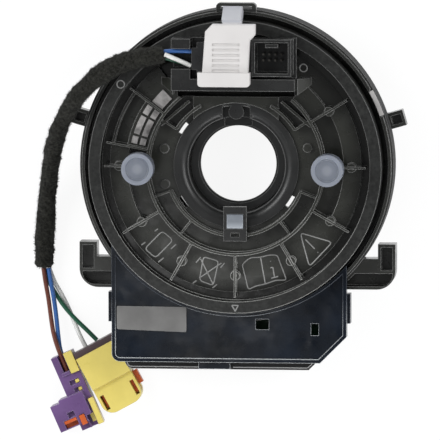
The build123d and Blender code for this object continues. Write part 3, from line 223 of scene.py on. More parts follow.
def with_outer_finish(tree, coords, tone, gloss, outer, matt_from):
    """Tone and gloss with a spark-eroded finish between two radii, and past a place along Y."""
    radius, far_radius, colour, rough = outer
    past_inner = off_axis(tree, coords, radius, radius + FINISH_BLEND)
    short_of_outer = off_axis(tree, coords, far_radius, far_radius + FINISH_BLEND, 1, 0)
    outside = maths(tree, "MINIMUM", past_inner, short_of_outer)
    if matt_from:
        outside = mixed(tree, along_y(tree, coords, *matt_from), outside, 1.0, kind="FLOAT")
    speckle = spread_cloud(tree, coords, SPECKLE_CLOUD)
    finish = mixed(tree, speckle, scaled(colour, FINISH_DARK), scaled(colour, FINISH_LIGHT))
    return mixed(tree, outside, tone, finish), mixed(tree, outside, gloss, rough, kind="FLOAT")


def band_tone(tree, coords, offset, bands):
    """Round bands of tone about two centres, which lie either side of the Y axis."""
    place = add(tree, "ShaderNodeSeparateXYZ", Vector=coords).outputs
    from_centre = maths(tree, "SUBTRACT", maths(tree, "ABSOLUTE", place["X"]), offset * MM)
    about_centre = add(tree, "ShaderNodeCombineXYZ", X=from_centre, Y=place["Y"]).outputs["Vector"]
    reach = bands[-1][0]
    ramp = add(tree, "ShaderNodeValToRGB", Fac=off_axis(tree, about_centre, 0, reach))
    stops = ramp.color_ramp.elements
    stops[0].color = (*bands[0][1], 1)
    stops[1].color = (*bands[-1][1], 1)
    for radius, colour in bands[1:-1]:
        stops.new(radius / reach).color = (*colour, 1)
    return ramp.outputs["Color"]


def plastic(
    name,
    colour,
    rough,
    edge_wear_and_light=0.25,
    edge_wear_and_light_tone=(0.12, 0.12, 0.12),
    edge_light_fade=None,
    edge=0.25,
    grain=0.05,
    sway=0.0,
    patches=0.08,
    vary=0.2,
    coat=0.0,
    level=0.5,
    fade=None,
    outer=None,
    matt_from=None,
    sink_and_shade=None,
    rings=None,
):
    """Moulded plastic: cloudy tone, handling marks in the gloss, fine grain, and a tone along the rounded
    edges that is partly polish from handling and partly painted light.

    vary is how much the tone varies, patches how much the gloss does, sway how far the moulded
    face undulates, and level how bright its reflections are. wear is how strongly the edges show
    their edge tone, and worn is that tone, partly polish from handling and partly painted highlight;
    where it is darker than the face, as on the yellow connector, it is painted shade. edge is how
    wide the edges are. fade is (start, end, colour), a change of tone along Y, and edge_light_fade the
    same for the edge tone, where it brightens into a painted highlight. outer is (radius, far
    radius, colour, rough) of a spark-eroded finish between those radii, which also covers what
    lies beyond matt_from, (start, end) along Y. dip is (inner radius, outer radius, depth) of a
    soft sink of the face, whose tone darkens towards the outer radius as painted shade. rings is
    (offset, bands) of round bands of tone, each a radius and a colour."""
    mat, tree, shader = node_tree(name)
    coords = object_coords(tree)
    blotches = spread_cloud(tree, coords, TONE_CLOUD)
    tone = mixed(tree, blotches, scaled(colour, 1 - vary), scaled(colour, 1 + vary))
    gloss = spread_cloud(tree, coords, GLOSS_CLOUD, max(LEAST_ROUGH, rough - patches), rough + patches)
    # Edge tone: partly polish from handling, partly painted highlight, and painted shade where it is darker
    # than the face
    edge_wear_and_light_mask, normal = edges_worn_and_lit(tree, edge, edge_wear_and_light)
    if sink_and_shade:
        inner, outer_edge, depth = sink_and_shade
        # Painted shade: the tone darkens towards the outer radius of the sink
        shade = off_axis(tree, coords, inner, outer_edge, 0, SINK_SHADE)
        tone = mixed(tree, shade, tone, scaled(colour, SINK_SHADE_TONE))
        fall = maths(tree, "POWER", off_axis(tree, coords, inner, outer_edge, 1, 0), SINK_CURVE)
        normal = bumped(tree, fall, depth, Normal=normal)
    if outer:
        tone, gloss = with_outer_finish(tree, coords, tone, gloss, outer, matt_from)
    tone = faded(tree, coords, tone, fade)
    if rings:
        tone = mixed(tree, BAND_SHARE, tone, band_tone(tree, coords, *rings))
    for cloud, depth, strength in ((SWAY_CLOUD, SWAY_DEPTH, sway), (GRAIN_CLOUD, GRAIN_DEPTH, grain)):
        if strength:
            normal = bumped(tree, plain_cloud(tree, coords, cloud), depth, strength, Normal=normal)
    give(
        tree,
        shader,
        Base_Color=mixed(tree, edge_wear_and_light_mask, tone, faded(tree, coords, edge_wear_and_light_tone, edge_light_fade)),
        Roughness=gloss,
        Normal=normal,
        Specular_IOR_Level=level,
        Coat_Weight=coat,
        Coat_Roughness=COAT_ROUGH,
    )
    return mat


DULL_TONE = 0.35
ROLLED_SMOOTH = 0.7
ROLLED_ROUGH = 1.4


def metal(name, colour, rough):
    """Tin plated sheet, with a fine rolled grain and dull patches."""
    mat, tree, shader = node_tree(name)
    coords = object_coords(tree)
    dull = spread_cloud(tree, coords, DULL_CLOUD)
    give(
        tree,
        shader,
        Base_Color=mixed(tree, dull, scaled(colour, DULL_TONE), colour),
        Roughness=spread_cloud(tree, coords, ROLLED_CLOUD, rough * ROLLED_SMOOTH, rough * ROLLED_ROUGH),
        Metallic=1.0,
    )
    return mat


CAP_ROUGH = 0.38
CAP_GLOW = 0.4
CAP_GLOW_RADIUS = (0.003, 0.003, 0.004)
CAP_GLOW_SCALE = 0.4


def silicone(name, colour, edge_wear_and_light_tone, bands):
    """Soft translucent rubber with a faint bloom on the surface, round bands of tone that paint shade in
    the groove and a highlight on the rim, and paler rounded edges whose tone is partly polish from handling
    and partly painted highlight.
    """
    surface = dict(edge_wear_and_light=0.5, edge_wear_and_light_tone=edge_wear_and_light_tone, edge=0.5, grain=0.03, patches=0.1, rings=(CAP_OFFSET, bands))
    mat = plastic(name, colour, CAP_ROUGH, **surface)
    tree = mat.node_tree
    give(
        tree,
        tree.nodes["Principled BSDF"],
        Subsurface_Weight=CAP_GLOW,
        Subsurface_Radius=CAP_GLOW_RADIUS,
        Subsurface_Scale=CAP_GLOW_SCALE,
    )
    return mat


CLUMP_DARK = 0.6
CLUMP_LIGHT = 1.5
STRAY_TONE = 6.5
STRAY_SHARE = 0.85
FELT_DEPTH = 1.0


def fleece(name, colour):
    """Black fleece tape: matt felted fibres with a soft sheen."""
    mat, tree, shader = node_tree(name)
    coords = object_coords(tree)
    felt = plain_cloud(tree, coords, FELT_CLOUD)
    clump = spread_cloud(tree, coords, CLUMP_CLOUD)
    tone = mixed(tree, clump, scaled(colour, CLUMP_DARK), scaled(colour, CLUMP_LIGHT))
    stray = remap(tree, felt, FELT_CLOUD.start, FELT_CLOUD.end, 0, STRAY_SHARE)
    give(
        tree,
        shader,
        Base_Color=mixed(tree, stray, tone, scaled(colour, STRAY_TONE)),
        Roughness=0.95,
        Sheen_Weight=0.06,
        Sheen_Roughness=0.5,
        Specular_IOR_Level=0.15,
        Normal=bumped(tree, felt, FELT_DEPTH),
    )
    return mat


# Bands of a damping cap: radius and tone. The dark band at 4.7 is painted shade in the groove round the
# dish, the pale bands from 5.3 to 6.2 are a painted highlight on the rim, and the darker outer band is
# painted shade where the rim rolls away
CAP_LIGHT_AND_SHADE_BANDS = (
    (0.0, (0.25, 0.27, 0.30)),
    (1.6, (0.23, 0.245, 0.28)),
    (2.6, (0.16, 0.175, 0.21)),
    (4.1, (0.145, 0.16, 0.195)),
    (4.7, (0.11, 0.125, 0.16)),
    (5.3, (0.22, 0.24, 0.285)),
    (6.2, (0.26, 0.28, 0.325)),
    (6.8, (0.14, 0.155, 0.195)),
)
BLACK = (0.0045, 0.0046, 0.0046)
# Edge tones: the grey one is partly polish from handling and partly painted highlight, the pale one is
# painted highlight
GREY_EDGE_WEAR_AND_HIGHLIGHT = (0.21, 0.21, 0.205)
PALE_EDGE_HIGHLIGHT = (0.6, 0.6, 0.6)
FINE_FINISH = (0.0135, 0.014, 0.0132)
mats = {
    "stator": plastic(
        "stator_black",
        (0.0245, 0.0252, 0.0228),
        0.24,
        edge_wear_and_light=0.95,
        edge_wear_and_light_tone=scaled(GREY_EDGE_WEAR_AND_HIGHLIGHT, 1.3),
        # Painted highlight along the edges of the box's foot
        edge_light_fade=(*FOOT_HIGHLIGHT_STRETCH, PALE_EDGE_HIGHLIGHT),
        edge=0.35,
        sway=0.26,
        patches=0.1,
        outer=(RIM_SIDE_RADIUS, RIM_OUTER_RADIUS, scaled(BLACK, 1.2), 0.75),
        matt_from=FOOT_MATT_STRETCH,
    ),
    "rotor": plastic(
        "rotor_black",
        (0.0245, 0.0254, 0.0216),
        0.24,
        edge_wear_and_light=0.9,
        edge_wear_and_light_tone=GREY_EDGE_WEAR_AND_HIGHLIGHT,
        # Painted highlight along the edges towards the bottom, such as the flange's inner edge
        edge_light_fade=(*POCKET_HIGHLIGHT_STRETCH, (0.56, 0.56, 0.54)),
        edge=0.5,
        sway=0.12,
        patches=0.12,
        outer=(FLANGE_INNER_RADIUS, RIM_OUTER_RADIUS, FINE_FINISH, 0.36),
        # Sink of the dish, whose tone darkens towards the flange as painted shade
        sink_and_shade=(DISH_INNER_RADIUS, DISH_OUTER_RADIUS, 0.5),
    ),
    "sleeve": plastic(
        "sleeve_black",
        scaled(BLACK, 4.6),
        0.33,
        edge_wear_and_light=0.7,
        edge_wear_and_light_tone=GREY_EDGE_WEAR_AND_HIGHLIGHT,
        edge=0.4,
        sway=0.2,
        level=0.36,
    ),
    "block": plastic("block_black", scaled(BLACK, 3.6), 0.27, edge_wear_and_light=0.9, edge_wear_and_light_tone=GREY_EDGE_WEAR_AND_HIGHLIGHT, edge=0.4, sway=0.1),
    "cover": plastic(
        "cover_gloss",
        (0.0052, 0.0078, 0.0128),
        0.2,
        edge_wear_and_light=1.0,
        edge_wear_and_light_tone=(0.11, 0.125, 0.15),
        # Painted highlight along the cover's lower edges
        edge_light_fade=(*COVER_HIGHLIGHT_STRETCH, (0.8, 0.83, 0.85)),
        edge=0.35,
        grain=0.02,
        sway=0.5,
        patches=0.14,
        vary=0.55,
        coat=0.06,
        level=0.22,
    ),
    "board": plastic("board_green", (0.02, 0.11, 0.045), 0.4, edge_wear_and_light_tone=(0.05, 0.16, 0.08)),
    "chip": plastic("chip_black", (0.02, 0.02, 0.022), 0.5),
    "gear": plastic("gear_natural", (0.6, 0.58, 0.5), 0.4, edge_wear_and_light_tone=(0.7, 0.68, 0.6)),
    "film": plastic("cable_film", (0.012, 0.011, 0.010), 0.3),
    "magnet": plastic("magnet_grey", (0.09, 0.09, 0.095), 0.4),
    "plug": plastic("plug_black", (0.016, 0.0165, 0.018), 0.34, edge_wear_and_light=0.5, edge_wear_and_light_tone=GREY_EDGE_WEAR_AND_HIGHLIGHT),
    "clip": plastic(
        "clip_grey",
        (0.20, 0.22, 0.25),
        0.3,
        edge_wear_and_light=0.7,
        edge_wear_and_light_tone=(0.5, 0.53, 0.57),
        edge=0.4,
        # Lighter towards the clip's lower end: painted sheen
        fade=(*CLIP_SHEEN_STRETCH, (0.36, 0.39, 0.43)),
    ),
    "cap": silicone("cap_silicone", (0.20, 0.22, 0.26), (0.36, 0.39, 0.44), CAP_LIGHT_AND_SHADE_BANDS),
    "lock": plastic(
        "lock_white",
        (0.67, 0.65, 0.64),
        0.36,
        edge_wear_and_light=0.3,
        edge_wear_and_light_tone=(0.74, 0.73, 0.72),
        edge=0.4,
        patches=0.04,
        vary=0.04,
        fade=(*LOCK_STRETCH, (0.48, 0.49, 0.53)),
    ),
    "yellow": plastic(
        "connector_yellow",
        (0.74, 0.61, 0.15),
        0.34,
        edge_wear_and_light=0.6,
        # Dark ochre edge tone: painted shade along the connector's outline
        edge_wear_and_light_tone=(0.46, 0.33, 0.1),
        edge=0.4,
        sway=0.03,
        vary=0.08,
    ),
    "cell": plastic("cell_brown", (0.07, 0.045, 0.05), 0.42, edge_wear_and_light=0.4, edge_wear_and_light_tone=(0.2, 0.15, 0.15)),
    "purple": plastic(
        "connector_purple", (0.135, 0.07, 0.2), 0.34, edge_wear_and_light=0.5, edge_wear_and_light_tone=(0.42, 0.32, 0.55), edge=0.35
    ),
    "orange": plastic("lock_orange", (0.62, 0.11, 0.02), 0.35, edge_wear_and_light=0.3, edge_wear_and_light_tone=(0.8, 0.3, 0.1)),
    "brown": plastic("wire_brown", (0.13, 0.035, 0.02), 0.32, grain=0.1, edge_wear_and_light_tone=(0.2, 0.08, 0.06)),
    "blue": plastic("wire_blue", (0.035, 0.12, 0.36), 0.32, grain=0.1, edge_wear_and_light_tone=(0.1, 0.2, 0.4)),
    "green": plastic("wire_green", (0.012, 0.085, 0.045), 0.32, grain=0.1, edge_wear_and_light_tone=(0.05, 0.16, 0.1)),
    "white": plastic("wire_white", (0.72, 0.72, 0.70), 0.32, grain=0.1, edge_wear_and_light_tone=(0.8, 0.8, 0.78)),
    "tin": metal("tin_plate", (0.6, 0.58, 0.57), 0.4),
    "pin": metal("pin_plate", (0.12, 0.115, 0.105), 0.35),
    "fleece": fleece("fleece_black", (0.0085, 0.0085, 0.0072)),
    "label": plastic(
        "label_grey", (0.145, 0.143, 0.14), 0.45, edge_wear_and_light=0.4, edge_wear_and_light_tone=(0.3, 0.3, 0.3), grain=0.02, edge=0.3
    ),
    # Pale tone of the plate on the rim's facet: painted highlight
    "pale_highlight": plastic("rim_highlight_pale", (0.55, 0.53, 0.52), 0.4, edge_wear_and_light=0.3, edge_wear_and_light_tone=PALE_EDGE_HIGHLIGHT, edge=0.3),
    # Pale tone of the raised moulded lines: painted highlight on their ridges
    "line": plastic("moulded_line_highlight", (0.25, 0.25, 0.245), 0.3, edge_wear_and_light=0.4, edge_wear_and_light_tone=GREY_EDGE_WEAR_AND_HIGHLIGHT, edge=0.3),
    # Pale tone of the line along the foot's rounded edge: painted highlight
    "painted_highlight": plastic("foot_highlight_line", (0.4, 0.4, 0.4), 0.25, edge_wear_and_light=0.4, edge_wear_and_light_tone=PALE_EDGE_HIGHLIGHT, edge=0.3),
}

looks = {
    "stator": ("stator_housing", "rear_shell", "vehicle_header"),
    "cover": ("sensor_cover",),
    "board": ("circuit_board",),
    "chip": ("angle_sensors",),
    "tin": ("header_pins", "contact_strips"),
    "pin": ("socket_pins",),
    "rotor": ("rotor_disc",),
    "sleeve": ("rotor_sleeve",),
    "gear": ("drive_gear", "measuring_gear_a", "measuring_gear_b"),
    "clip": ("hub_clip",),
    "block": ("clip_holder", "socket_block"),
    "plug": ("harness_plug",),
    "cap": ("damping_cap_left", "damping_cap_right"),
    "film": ("flat_cable",),
    "blue": ("lead_blue",),
    "white": ("lead_white",),
    "green": ("lead_green",),
    "yellow": ("yellow_connector", "purple_retainer"),
    "cell": ("yellow_cell_cap",),
    "purple": ("purple_connector",),
    "orange": ("yellow_lock", "purple_lock"),
    "magnet": ("magnet_a", "magnet_b"),
    "lock": ("transport_lock",),
}
for look, names in looks.items():
    for name in names:
        mesh = nodes[name].data
        mesh.materials.clear()
        mesh.materials.append(mats[look])


# Lines and meshes
def placed(name, data):
    """Object in the scene for a mesh, a line, a light or a camera."""
    obj = bpy.data.objects.new(name, data)
    bpy.context.scene.collection.objects.link(obj)
    return obj


def placed_mesh(name, look, work):
    """Object in the scene for a mesh that has been made up, in one of the looks."""
    mesh = bpy.data.meshes.new(name)
    work.to_mesh(mesh)
    work.free()
    mesh.materials.append(mats[look])
    return placed(name, mesh)


def line_data(name, kind, lines):
    """Lines of a kind, each from its points and whether it is closed."""
    data = bpy.data.curves.new(name, "CURVE")
    data.dimensions = "3D"
    for points, closed in lines:
        spline = data.splines.new(kind)
        spline.points.add(len(points) - 1)
        for control, point in zip(spline.points, points):
            control.co = (*(c * MM for c in point), 1)
        spline.use_cyclic_u = closed
    return data


def thicken(data, radius, steps, look):
    """Gives lines a round section with closed ends."""
    data.bevel_depth = radius * MM
    data.bevel_resolution = steps
    data.use_fill_caps = True
    data.materials.append(mats[look])


def join_rings(work, rings):
    """Faces between closed rings of points that follow one another."""
    for ring, following in zip(rings, rings[1:]):
        for j in range(len(ring)):
            k = (j + 1) % len(ring)
            work.faces.new((ring[j], ring[k], following[k], following[j]))


# Cords
ROUTE_ORDER = 3
ROUTE_STEPS = 12
LOOM = [
    (-29.0, 47.8, 45.2), (-39.5, 46.5, 45.1), (-50.4, 43.0, 44.3), (-60.0, 36.4, 41.7),
    (-68.0, 27.4, 36.8), (-73.8, 17.8, 29.6), (-78.2, 6.9, 20.8), (-80.7, -4.1, 13.3),
    (-82.3, -15.2, 7.8), (-83.4, -26.4, 4.7), (-83.9, -37.0, 3.8), (-84.1, -46.4, 3.75),
]
LOOM_RADIUS = 3.75
LOOM_STEP = 0.55
LOOM_SIDES = 44
LOOM_FLOOR = 0.06

# Swells of the bundle: share of its length, share of it that they take, and how much thicker
LOOM_SWELLS = (
    (0.05, 0.06, 0.05), (0.19, 0.07, 0.1), (0.45, 0.1, -0.08), (0.66, 0.09, -0.04), (0.93, 0.09, 0.08),
)

# Ends of the tape, drawn in and crowned
END_TAPER = 0.22
END_REACH = 1.6
END_CROWN = 0.25

# Winding of the tape
TAPE_PITCH = 11.0
TAPE_EDGE = 0.28
TAPE_SINK = 0.12

# Lumps of the tape: how many a millimetre, and how high
TAPE_LUMPS = ((0.11, 0.6), (0.55, 0.5), (1.6, 0.25))

# Fibres, and tufts of them: share of the loom's length and share of a turn round it
FIBRES = 6500
FIBRE_LENGTH = (0.5, 2.0)
FIBRE_WIDTH = 0.07
FIBRE_LIFT = 0.3
BEND_SHARES = (0.5, 1.6)
TIP_SHARES = (-0.3, 1.6)
TUFTS = ((0.845, 0.02), (0.47, 0.55), (0.30, 0.45), (0.72, 0.93), (0.60, 0.5))
TUFT_FIBRES = 34
TUFT_SPREAD = 2
TUFT_LENGTH = (0.8, 2.4)
TUFT_LIFT = 0.62

# Airbag wires between the loom and the two connectors
WIRE_DIAMETER = 1.9
WIRE_STEPS = 5
WIRES = {
    "brown": [
        (-84.3, -46.65, 4.9), (-83.6, -52.0, 4.9), (-82.2, -59.5, 4.6), (-81.2, -67.5, 4.8),
        (-80.0, -75.0, 5.6), (-77.17, -83.25, 6.6), (-74.1, -90.28, 6.6),
    ],
    "blue": [
        (-82.1, -46.65, 4.9), (-81.3, -52.0, 4.9), (-79.9, -59.5, 4.6), (-78.9, -67.5, 4.4),
        (-78.2, -75.0, 4.2), (-77.17, -83.25, 4.1), (-74.1, -90.28, 4.1),
    ],
    "green": [
        (-84.3, -46.75, 2.6), (-82.9, -51.8, 2.4), (-79.6, -57.4, 2.6), (-75.6, -63.2, 3.8),
        (-70.6, -68.6, 4.4), (-65.6, -73.2, 4.6), (-61.57, -77.23, 4.6),
    ],
    "white": [
        (-82.1, -46.8, 2.6), (-80.5, -51.8, 2.4), (-77.0, -58.0, 1.5), (-73.7, -64.5, 1.5),
        (-71.1, -71.0, 1.9), (-68.56, -76.2, 4.2), (-66.4, -80.14, 4.2),
    ],
}


def route_curve(name, points):
    """Smooth line through a cord's route, with the route's points as its control points."""
    data = line_data(name, "NURBS", [(points, False)])
    data.resolution_u = ROUTE_STEPS
    data.splines[0].order_u = ROUTE_ORDER
    data.splines[0].use_endpoint_u = True
    return placed(name, data)


def path_of(points):
    """Points read from the smooth line of a route."""
    curve = route_curve("loom_route", points)
    line = bpy.data.meshes.new_from_object(curve)
    found = [v.co / MM for v in line.vertices]
    bpy.data.objects.remove(curve)
    return found


def even_path(points, step):
    """The same line with points a step apart."""
    lengths = [0.0]
    for start, end in zip(points, points[1:]):
        lengths.append(lengths[-1] + (end - start).length)
    count = round(lengths[-1] / step)
    found, k = [], 0
    for i in range(count + 1):
        along = lengths[-1] * i / count
        while k < len(points) - 2 and lengths[k + 1] < along:
            k += 1
        share = (along - lengths[k]) / (lengths[k + 1] - lengths[k])
        found.append(points[k].lerp(points[k + 1], share))
    return found


def fullness(share):
    """How thick the bundle is at a share of its length, against its plain thickness."""
    return 1.0 + sum(gain * math.exp(-(((share - at) / wide) ** 2)) for at, wide, gain in LOOM_SWELLS)


def tape_radius(place, turn, along, length):
    """Radius of the wound tape: lumpy, with its edge winding round and drawn in at both ends."""
    end_gap = min(along, length - along)
    taper = 1.0 - END_TAPER * max(0.0, 1.0 - end_gap / END_REACH) ** 2
    phase = (along / TAPE_PITCH + turn / (2 * math.pi)) % 1.0
    tape = TAPE_EDGE * (1.0 - phase) ** 3
    lumps = sum(gain * noise.noise(place * often) for often, gain in TAPE_LUMPS)
    return (LOOM_RADIUS * fullness(along / length) - TAPE_SINK + lumps + tape) * taper


def tape_skin(work, path):
    """Closed tube of tape round a path. Gives its points, each with the ways out and ahead."""
    length = LOOM_STEP * (len(path) - 1)
    side = Vector((0, 0, 1))
    rings, skin = [], []
    for i, centre in enumerate(path):
        ahead = (path[min(i + 1, len(path) - 1)] - path[max(i - 1, 0)]).normalized()
        side = (side - ahead * side.dot(ahead)).normalized()
        other = ahead.cross(side)
        ring = []
        for j in range(LOOM_SIDES):
            turn = 2 * math.pi * j / LOOM_SIDES
            out = side * math.cos(turn) + other * math.sin(turn)
            radius = tape_radius(centre + out * LOOM_RADIUS, turn, i * LOOM_STEP, length)
            point = centre + out * radius
            point.z = max(point.z, LOOM_FLOOR)
            ring.append(work.verts.new(point * MM))
            skin.append((point, out, ahead))
        rings.append(ring)
    join_rings(work, rings)
    for end, sign in ((0, -1), (-1, 1)):
        ring = rings[end]
        ahead = skin[end][2]
        middle = work.verts.new((path[end] + ahead * sign * END_CROWN) * MM)
        for j in range(LOOM_SIDES):
            corners = (ring[j], ring[(j + 1) % LOOM_SIDES], middle)
            work.faces.new(corners if sign > 0 else corners[::-1])
    for face in work.faces:
        face.smooth = True
    return skin


def add_fibre(work, root, out, ahead, reach, lift):
    """One bent fibre from a root on the tape, that stands off it by about lift."""
    lean = (ahead.cross(out) * random.uniform(-1, 1) + ahead * random.uniform(-1, 1)).normalized()
    half = lean * reach / 2
    bend = root + half + out * (lift * random.uniform(*BEND_SHARES))
    tip = bend + half + out * (lift * random.uniform(*TIP_SHARES))
    width = lean.cross(out) * FIBRE_WIDTH
    points = (root - width, root + width, bend + width, bend - width, tip)
    if min(p.z for p in points) < LOOM_FLOOR:
        return
    corners = [work.verts.new(p * MM) for p in points]
    work.faces.new(corners[:4])
    work.faces.new((corners[3], corners[2], corners[4]))


def add_fibres(work, skin):
    """Fibres all over the tape, and tufts of longer ones where it is rubbed up."""
    for _ in range(FIBRES):
        root, out, ahead = random.choice(skin)
        add_fibre(work, root, out, ahead, random.uniform(*FIBRE_LENGTH), FIBRE_LIFT)
    last_row = len(skin) // LOOM_SIDES - 1
    for share, turn in TUFTS:
        for _ in range(TUFT_FIBRES):
            row = min(last_row, round(share * last_row) + random.randint(-TUFT_SPREAD, TUFT_SPREAD))
            column = round(turn * LOOM_SIDES) + random.randint(-TUFT_SPREAD, TUFT_SPREAD)
            root, out, ahead = skin[row * LOOM_SIDES + column % LOOM_SIDES]
            add_fibre(work, root, out, ahead, random.uniform(*TUFT_LENGTH), TUFT_LIFT)


def taped_tube(name, look, path):
    """Bundle wound in fleece tape, with fibres on it."""
    work = bmesh.new()
    skin = tape_skin(work, path)
    add_fibres(work, skin)
    return placed_mesh(name, look, work)


loom_path = path_of(LOOM)
loom = taped_tube("loom_fleece", "fleece", even_path(loom_path, LOOM_STEP))
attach(loom, "rotor")
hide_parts("taped_loom")
for colour, points in WIRES.items():
    wire = route_curve(f"airbag_wire_{colour}", points)
    thicken(wire.data, WIRE_DIAMETER / 2, WIRE_STEPS, colour)
    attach(wire, "rotor")
    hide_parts(f"wire_{colour}")


# Fine moulded detail
CORNER_STEPS = 5
CORNER_SHARE = 0.45
CIRCLE_SIDES = 24
ARC_STEPS = 10
LINE_RADIUS = 0.3
LINE_SINK = 0.08
LINE_STEPS = 2
PLATE_EDGE = 0.12


def rounded(corners, radius, closed=True):
    """The points of a line with its corners rounded."""
    found = []
    count = len(corners)
    for i, corner in enumerate(corners):
        here = Vector(corner)
        if not closed and i in (0, count - 1):
            found.append(here)
            continue
        before = Vector(corners[i - 1]) - here
        after = Vector(corners[(i + 1) % count]) - here
        cut = min(radius, CORNER_SHARE * before.length, CORNER_SHARE * after.length)
        start = here + before.normalized() * cut
        end = here + after.normalized() * cut
        for k in range(CORNER_STEPS + 1):
            t = k / CORNER_STEPS
            found.append(start * (1 - t) ** 2 + here * 2 * t * (1 - t) + end * t**2)
    return found


def arc(centre, radius, start, end, steps):
    """Points along a round line from one angle to another."""
    turns = [math.radians(start + (end - start) * k / steps) for k in range(steps + 1)]
    return [(centre[0] + radius * math.cos(t), centre[1] + radius * math.sin(t)) for t in turns]


def circle(centre, radius):
    """Points once round a circle."""
    return arc(centre, radius, 0, 360, CIRCLE_SIDES)[:-1]


def moulded_lines(name, look, lines, level):
    """Raised moulded lines, with their middle just under the face that they stand on."""
    raised = [([(x, y, level - LINE_SINK) for x, y in points], closed) for points, closed in lines]
    data = line_data(name, "POLY", raised)
    thicken(data, LINE_RADIUS, LINE_STEPS, look)
    return placed(name, data)


def plate(name, look, outline, level, thickness):
    """Thin plate with a bevelled upper edge."""
    work = bmesh.new()
    middle = sum((Vector(p) for p in outline), Vector((0, 0))) / len(outline)
    rings = []
    for inset, height in ((0, 0), (0, thickness - PLATE_EDGE), (PLATE_EDGE, thickness)):
        ring = []
        for point in outline:
            flat = Vector(point)
            flat += (middle - flat).normalized() * inset
            ring.append(work.verts.new((flat.x * MM, flat.y * MM, (level + height) * MM)))
        rings.append(ring)
    join_rings(work, rings)
    work.faces.new(rings[-1])
    work.faces.new(rings[0][::-1])
    bmesh.ops.recalc_face_normals(work, faces=work.faces)
    return placed_mesh(name, look, work)


# Service symbols in the lower pockets: corners of the outline, their radius, and the strokes
SEAT = (
    [(-31.0, -27.6), (-26.4, -31.4), (-33.8, -39.0), (-38.4, -35.2)],
    1.6,
    [
        ((-34.2, -27.7), (-32.7, -26.6)), ((-39.8, -33.6), (-38.1, -32.4)),
        ((-27.3, -35.2), (-25.1, -33.1)), ((-32.7, -40.8), (-30.3, -38.9)),
    ],
)
CROSSED_SEAT = (
    [(-13.6, -38.3), (-7.2, -40.1), (-9.5, -50.5), (-15.3, -48.4)],
    1.5,
    [
        ((-14.8, -39.2), (-9.5, -50.0)), ((-15.3, -47.3), (-6.0, -40.9)),
        ((-16.8, -40.9), (-14.8, -38.5)), ((-6.3, -42.9), (-4.6, -40.8)),
        ((-18.2, -49.7), (-16.5, -48.4)), ((-9.8, -51.6), (-7.9, -50.0)),
    ],
)
BOOK = (
    [
        (2.7, -41.4), (6.0, -38.5), (10.4, -38.3), (14.0, -37.3), (17.6, -37.3),
        (21.5, -47.9), (16.9, -48.0), (12.6, -49.6), (8.5, -50.5), (5.3, -52.1),
    ],
    1.2,
    [
        ((10.5, -38.4), (12.5, -49.5)), ((14.7, -39.8), (14.8, -40.1)), ((15.7, -42.5), (16.4, -46.7)),
        ((14.7, -42.7), (15.7, -42.5)), ((15.0, -47.2), (18.0, -46.3)),
    ],
)
WARNING = (
    [(27.2, -27.8), (40.8, -31.7), (31.1, -42.1)],
    1.8,
    [((29.4, -30.6), (33.3, -34.5)), ((34.6, -35.9), (34.8, -36.1))],
)
SYMBOLS = (SEAT, CROSSED_SEAT, BOOK, WARNING)

# Round marks, the arrow on the flange, a pale line along the box's foot that is painted highlight, the
# label on the box and a pale plate on the rim's facet that is painted highlight
MARK_RADIUS = 1.6
PANEL_MARK = (28.5, 41.7)
FLANGE_MARK = (-48.1, 34.6)
ARROW_CORNERS = [(-1.2, -58.3), (1.5, -58.3), (0.2, -60.8)]
ARROW_ROUNDING = 0.3
FOOT_CORNERS = [(-46.9, -81.9), (-46.9, -86.2), (-16.7, -86.2)]
FOOT_ROUNDING = 2.6
FOOT_RIGHT = [(-2.1, -86.2), (29.5, -86.2), (33.7, -82.0)]
BOX_LABEL_CORNERS = [(-50.5, -59.7), (-50.5, -69.6), (-21.0, -70.6), (-21.0, -59.9)]
BOX_LABEL_ROUNDING = 0.8
BOX_LABEL_THICKNESS = 0.18
# Pale plate on the flat facet of the rim, standing in for the highlight there: painted highlight
RIM_HIGHLIGHT_RADII = (66.0, 64.1)
RIM_HIGHLIGHT_ANGLES = (19.4, 29.4)
RIM_HIGHLIGHT_SINK = 0.05
RIM_HIGHLIGHT_THICKNESS = 0.2

outlines = [(rounded(corners, radius), True) for corners, radius, _ in SYMBOLS]
strokes = [(stroke, False) for _, _, symbol_strokes in SYMBOLS for stroke in symbol_strokes]
panel_mark = (circle(PANEL_MARK, MARK_RADIUS), True)
arrow = (rounded(ARROW_CORNERS, ARROW_ROUNDING), True)
flange_mark = (circle(FLANGE_MARK, MARK_RADIUS), True)
foot_left = (rounded(FOOT_CORNERS, FOOT_ROUNDING, closed=False), False)
foot_right = (FOOT_RIGHT, False)

# Raised lines of the symbols and the flange marks, whose pale tone is painted highlight on the ridges
symbols = moulded_lines("service_symbols", "line", [*outlines, panel_mark, *strokes], PANEL_LEVEL)
flange_marks = moulded_lines("flange_marks", "line", [arrow, flange_mark], FLANGE_LEVEL)
# Pale line along the foot's rounded edge: painted highlight
foot_highlight_line = moulded_lines("foot_highlight_line", "painted_highlight", [foot_left, foot_right], FOOT_LEVEL)
box_outline = rounded(BOX_LABEL_CORNERS, BOX_LABEL_ROUNDING)
box_label = plate("box_label", "label", box_outline, COVER_LEVEL, BOX_LABEL_THICKNESS)
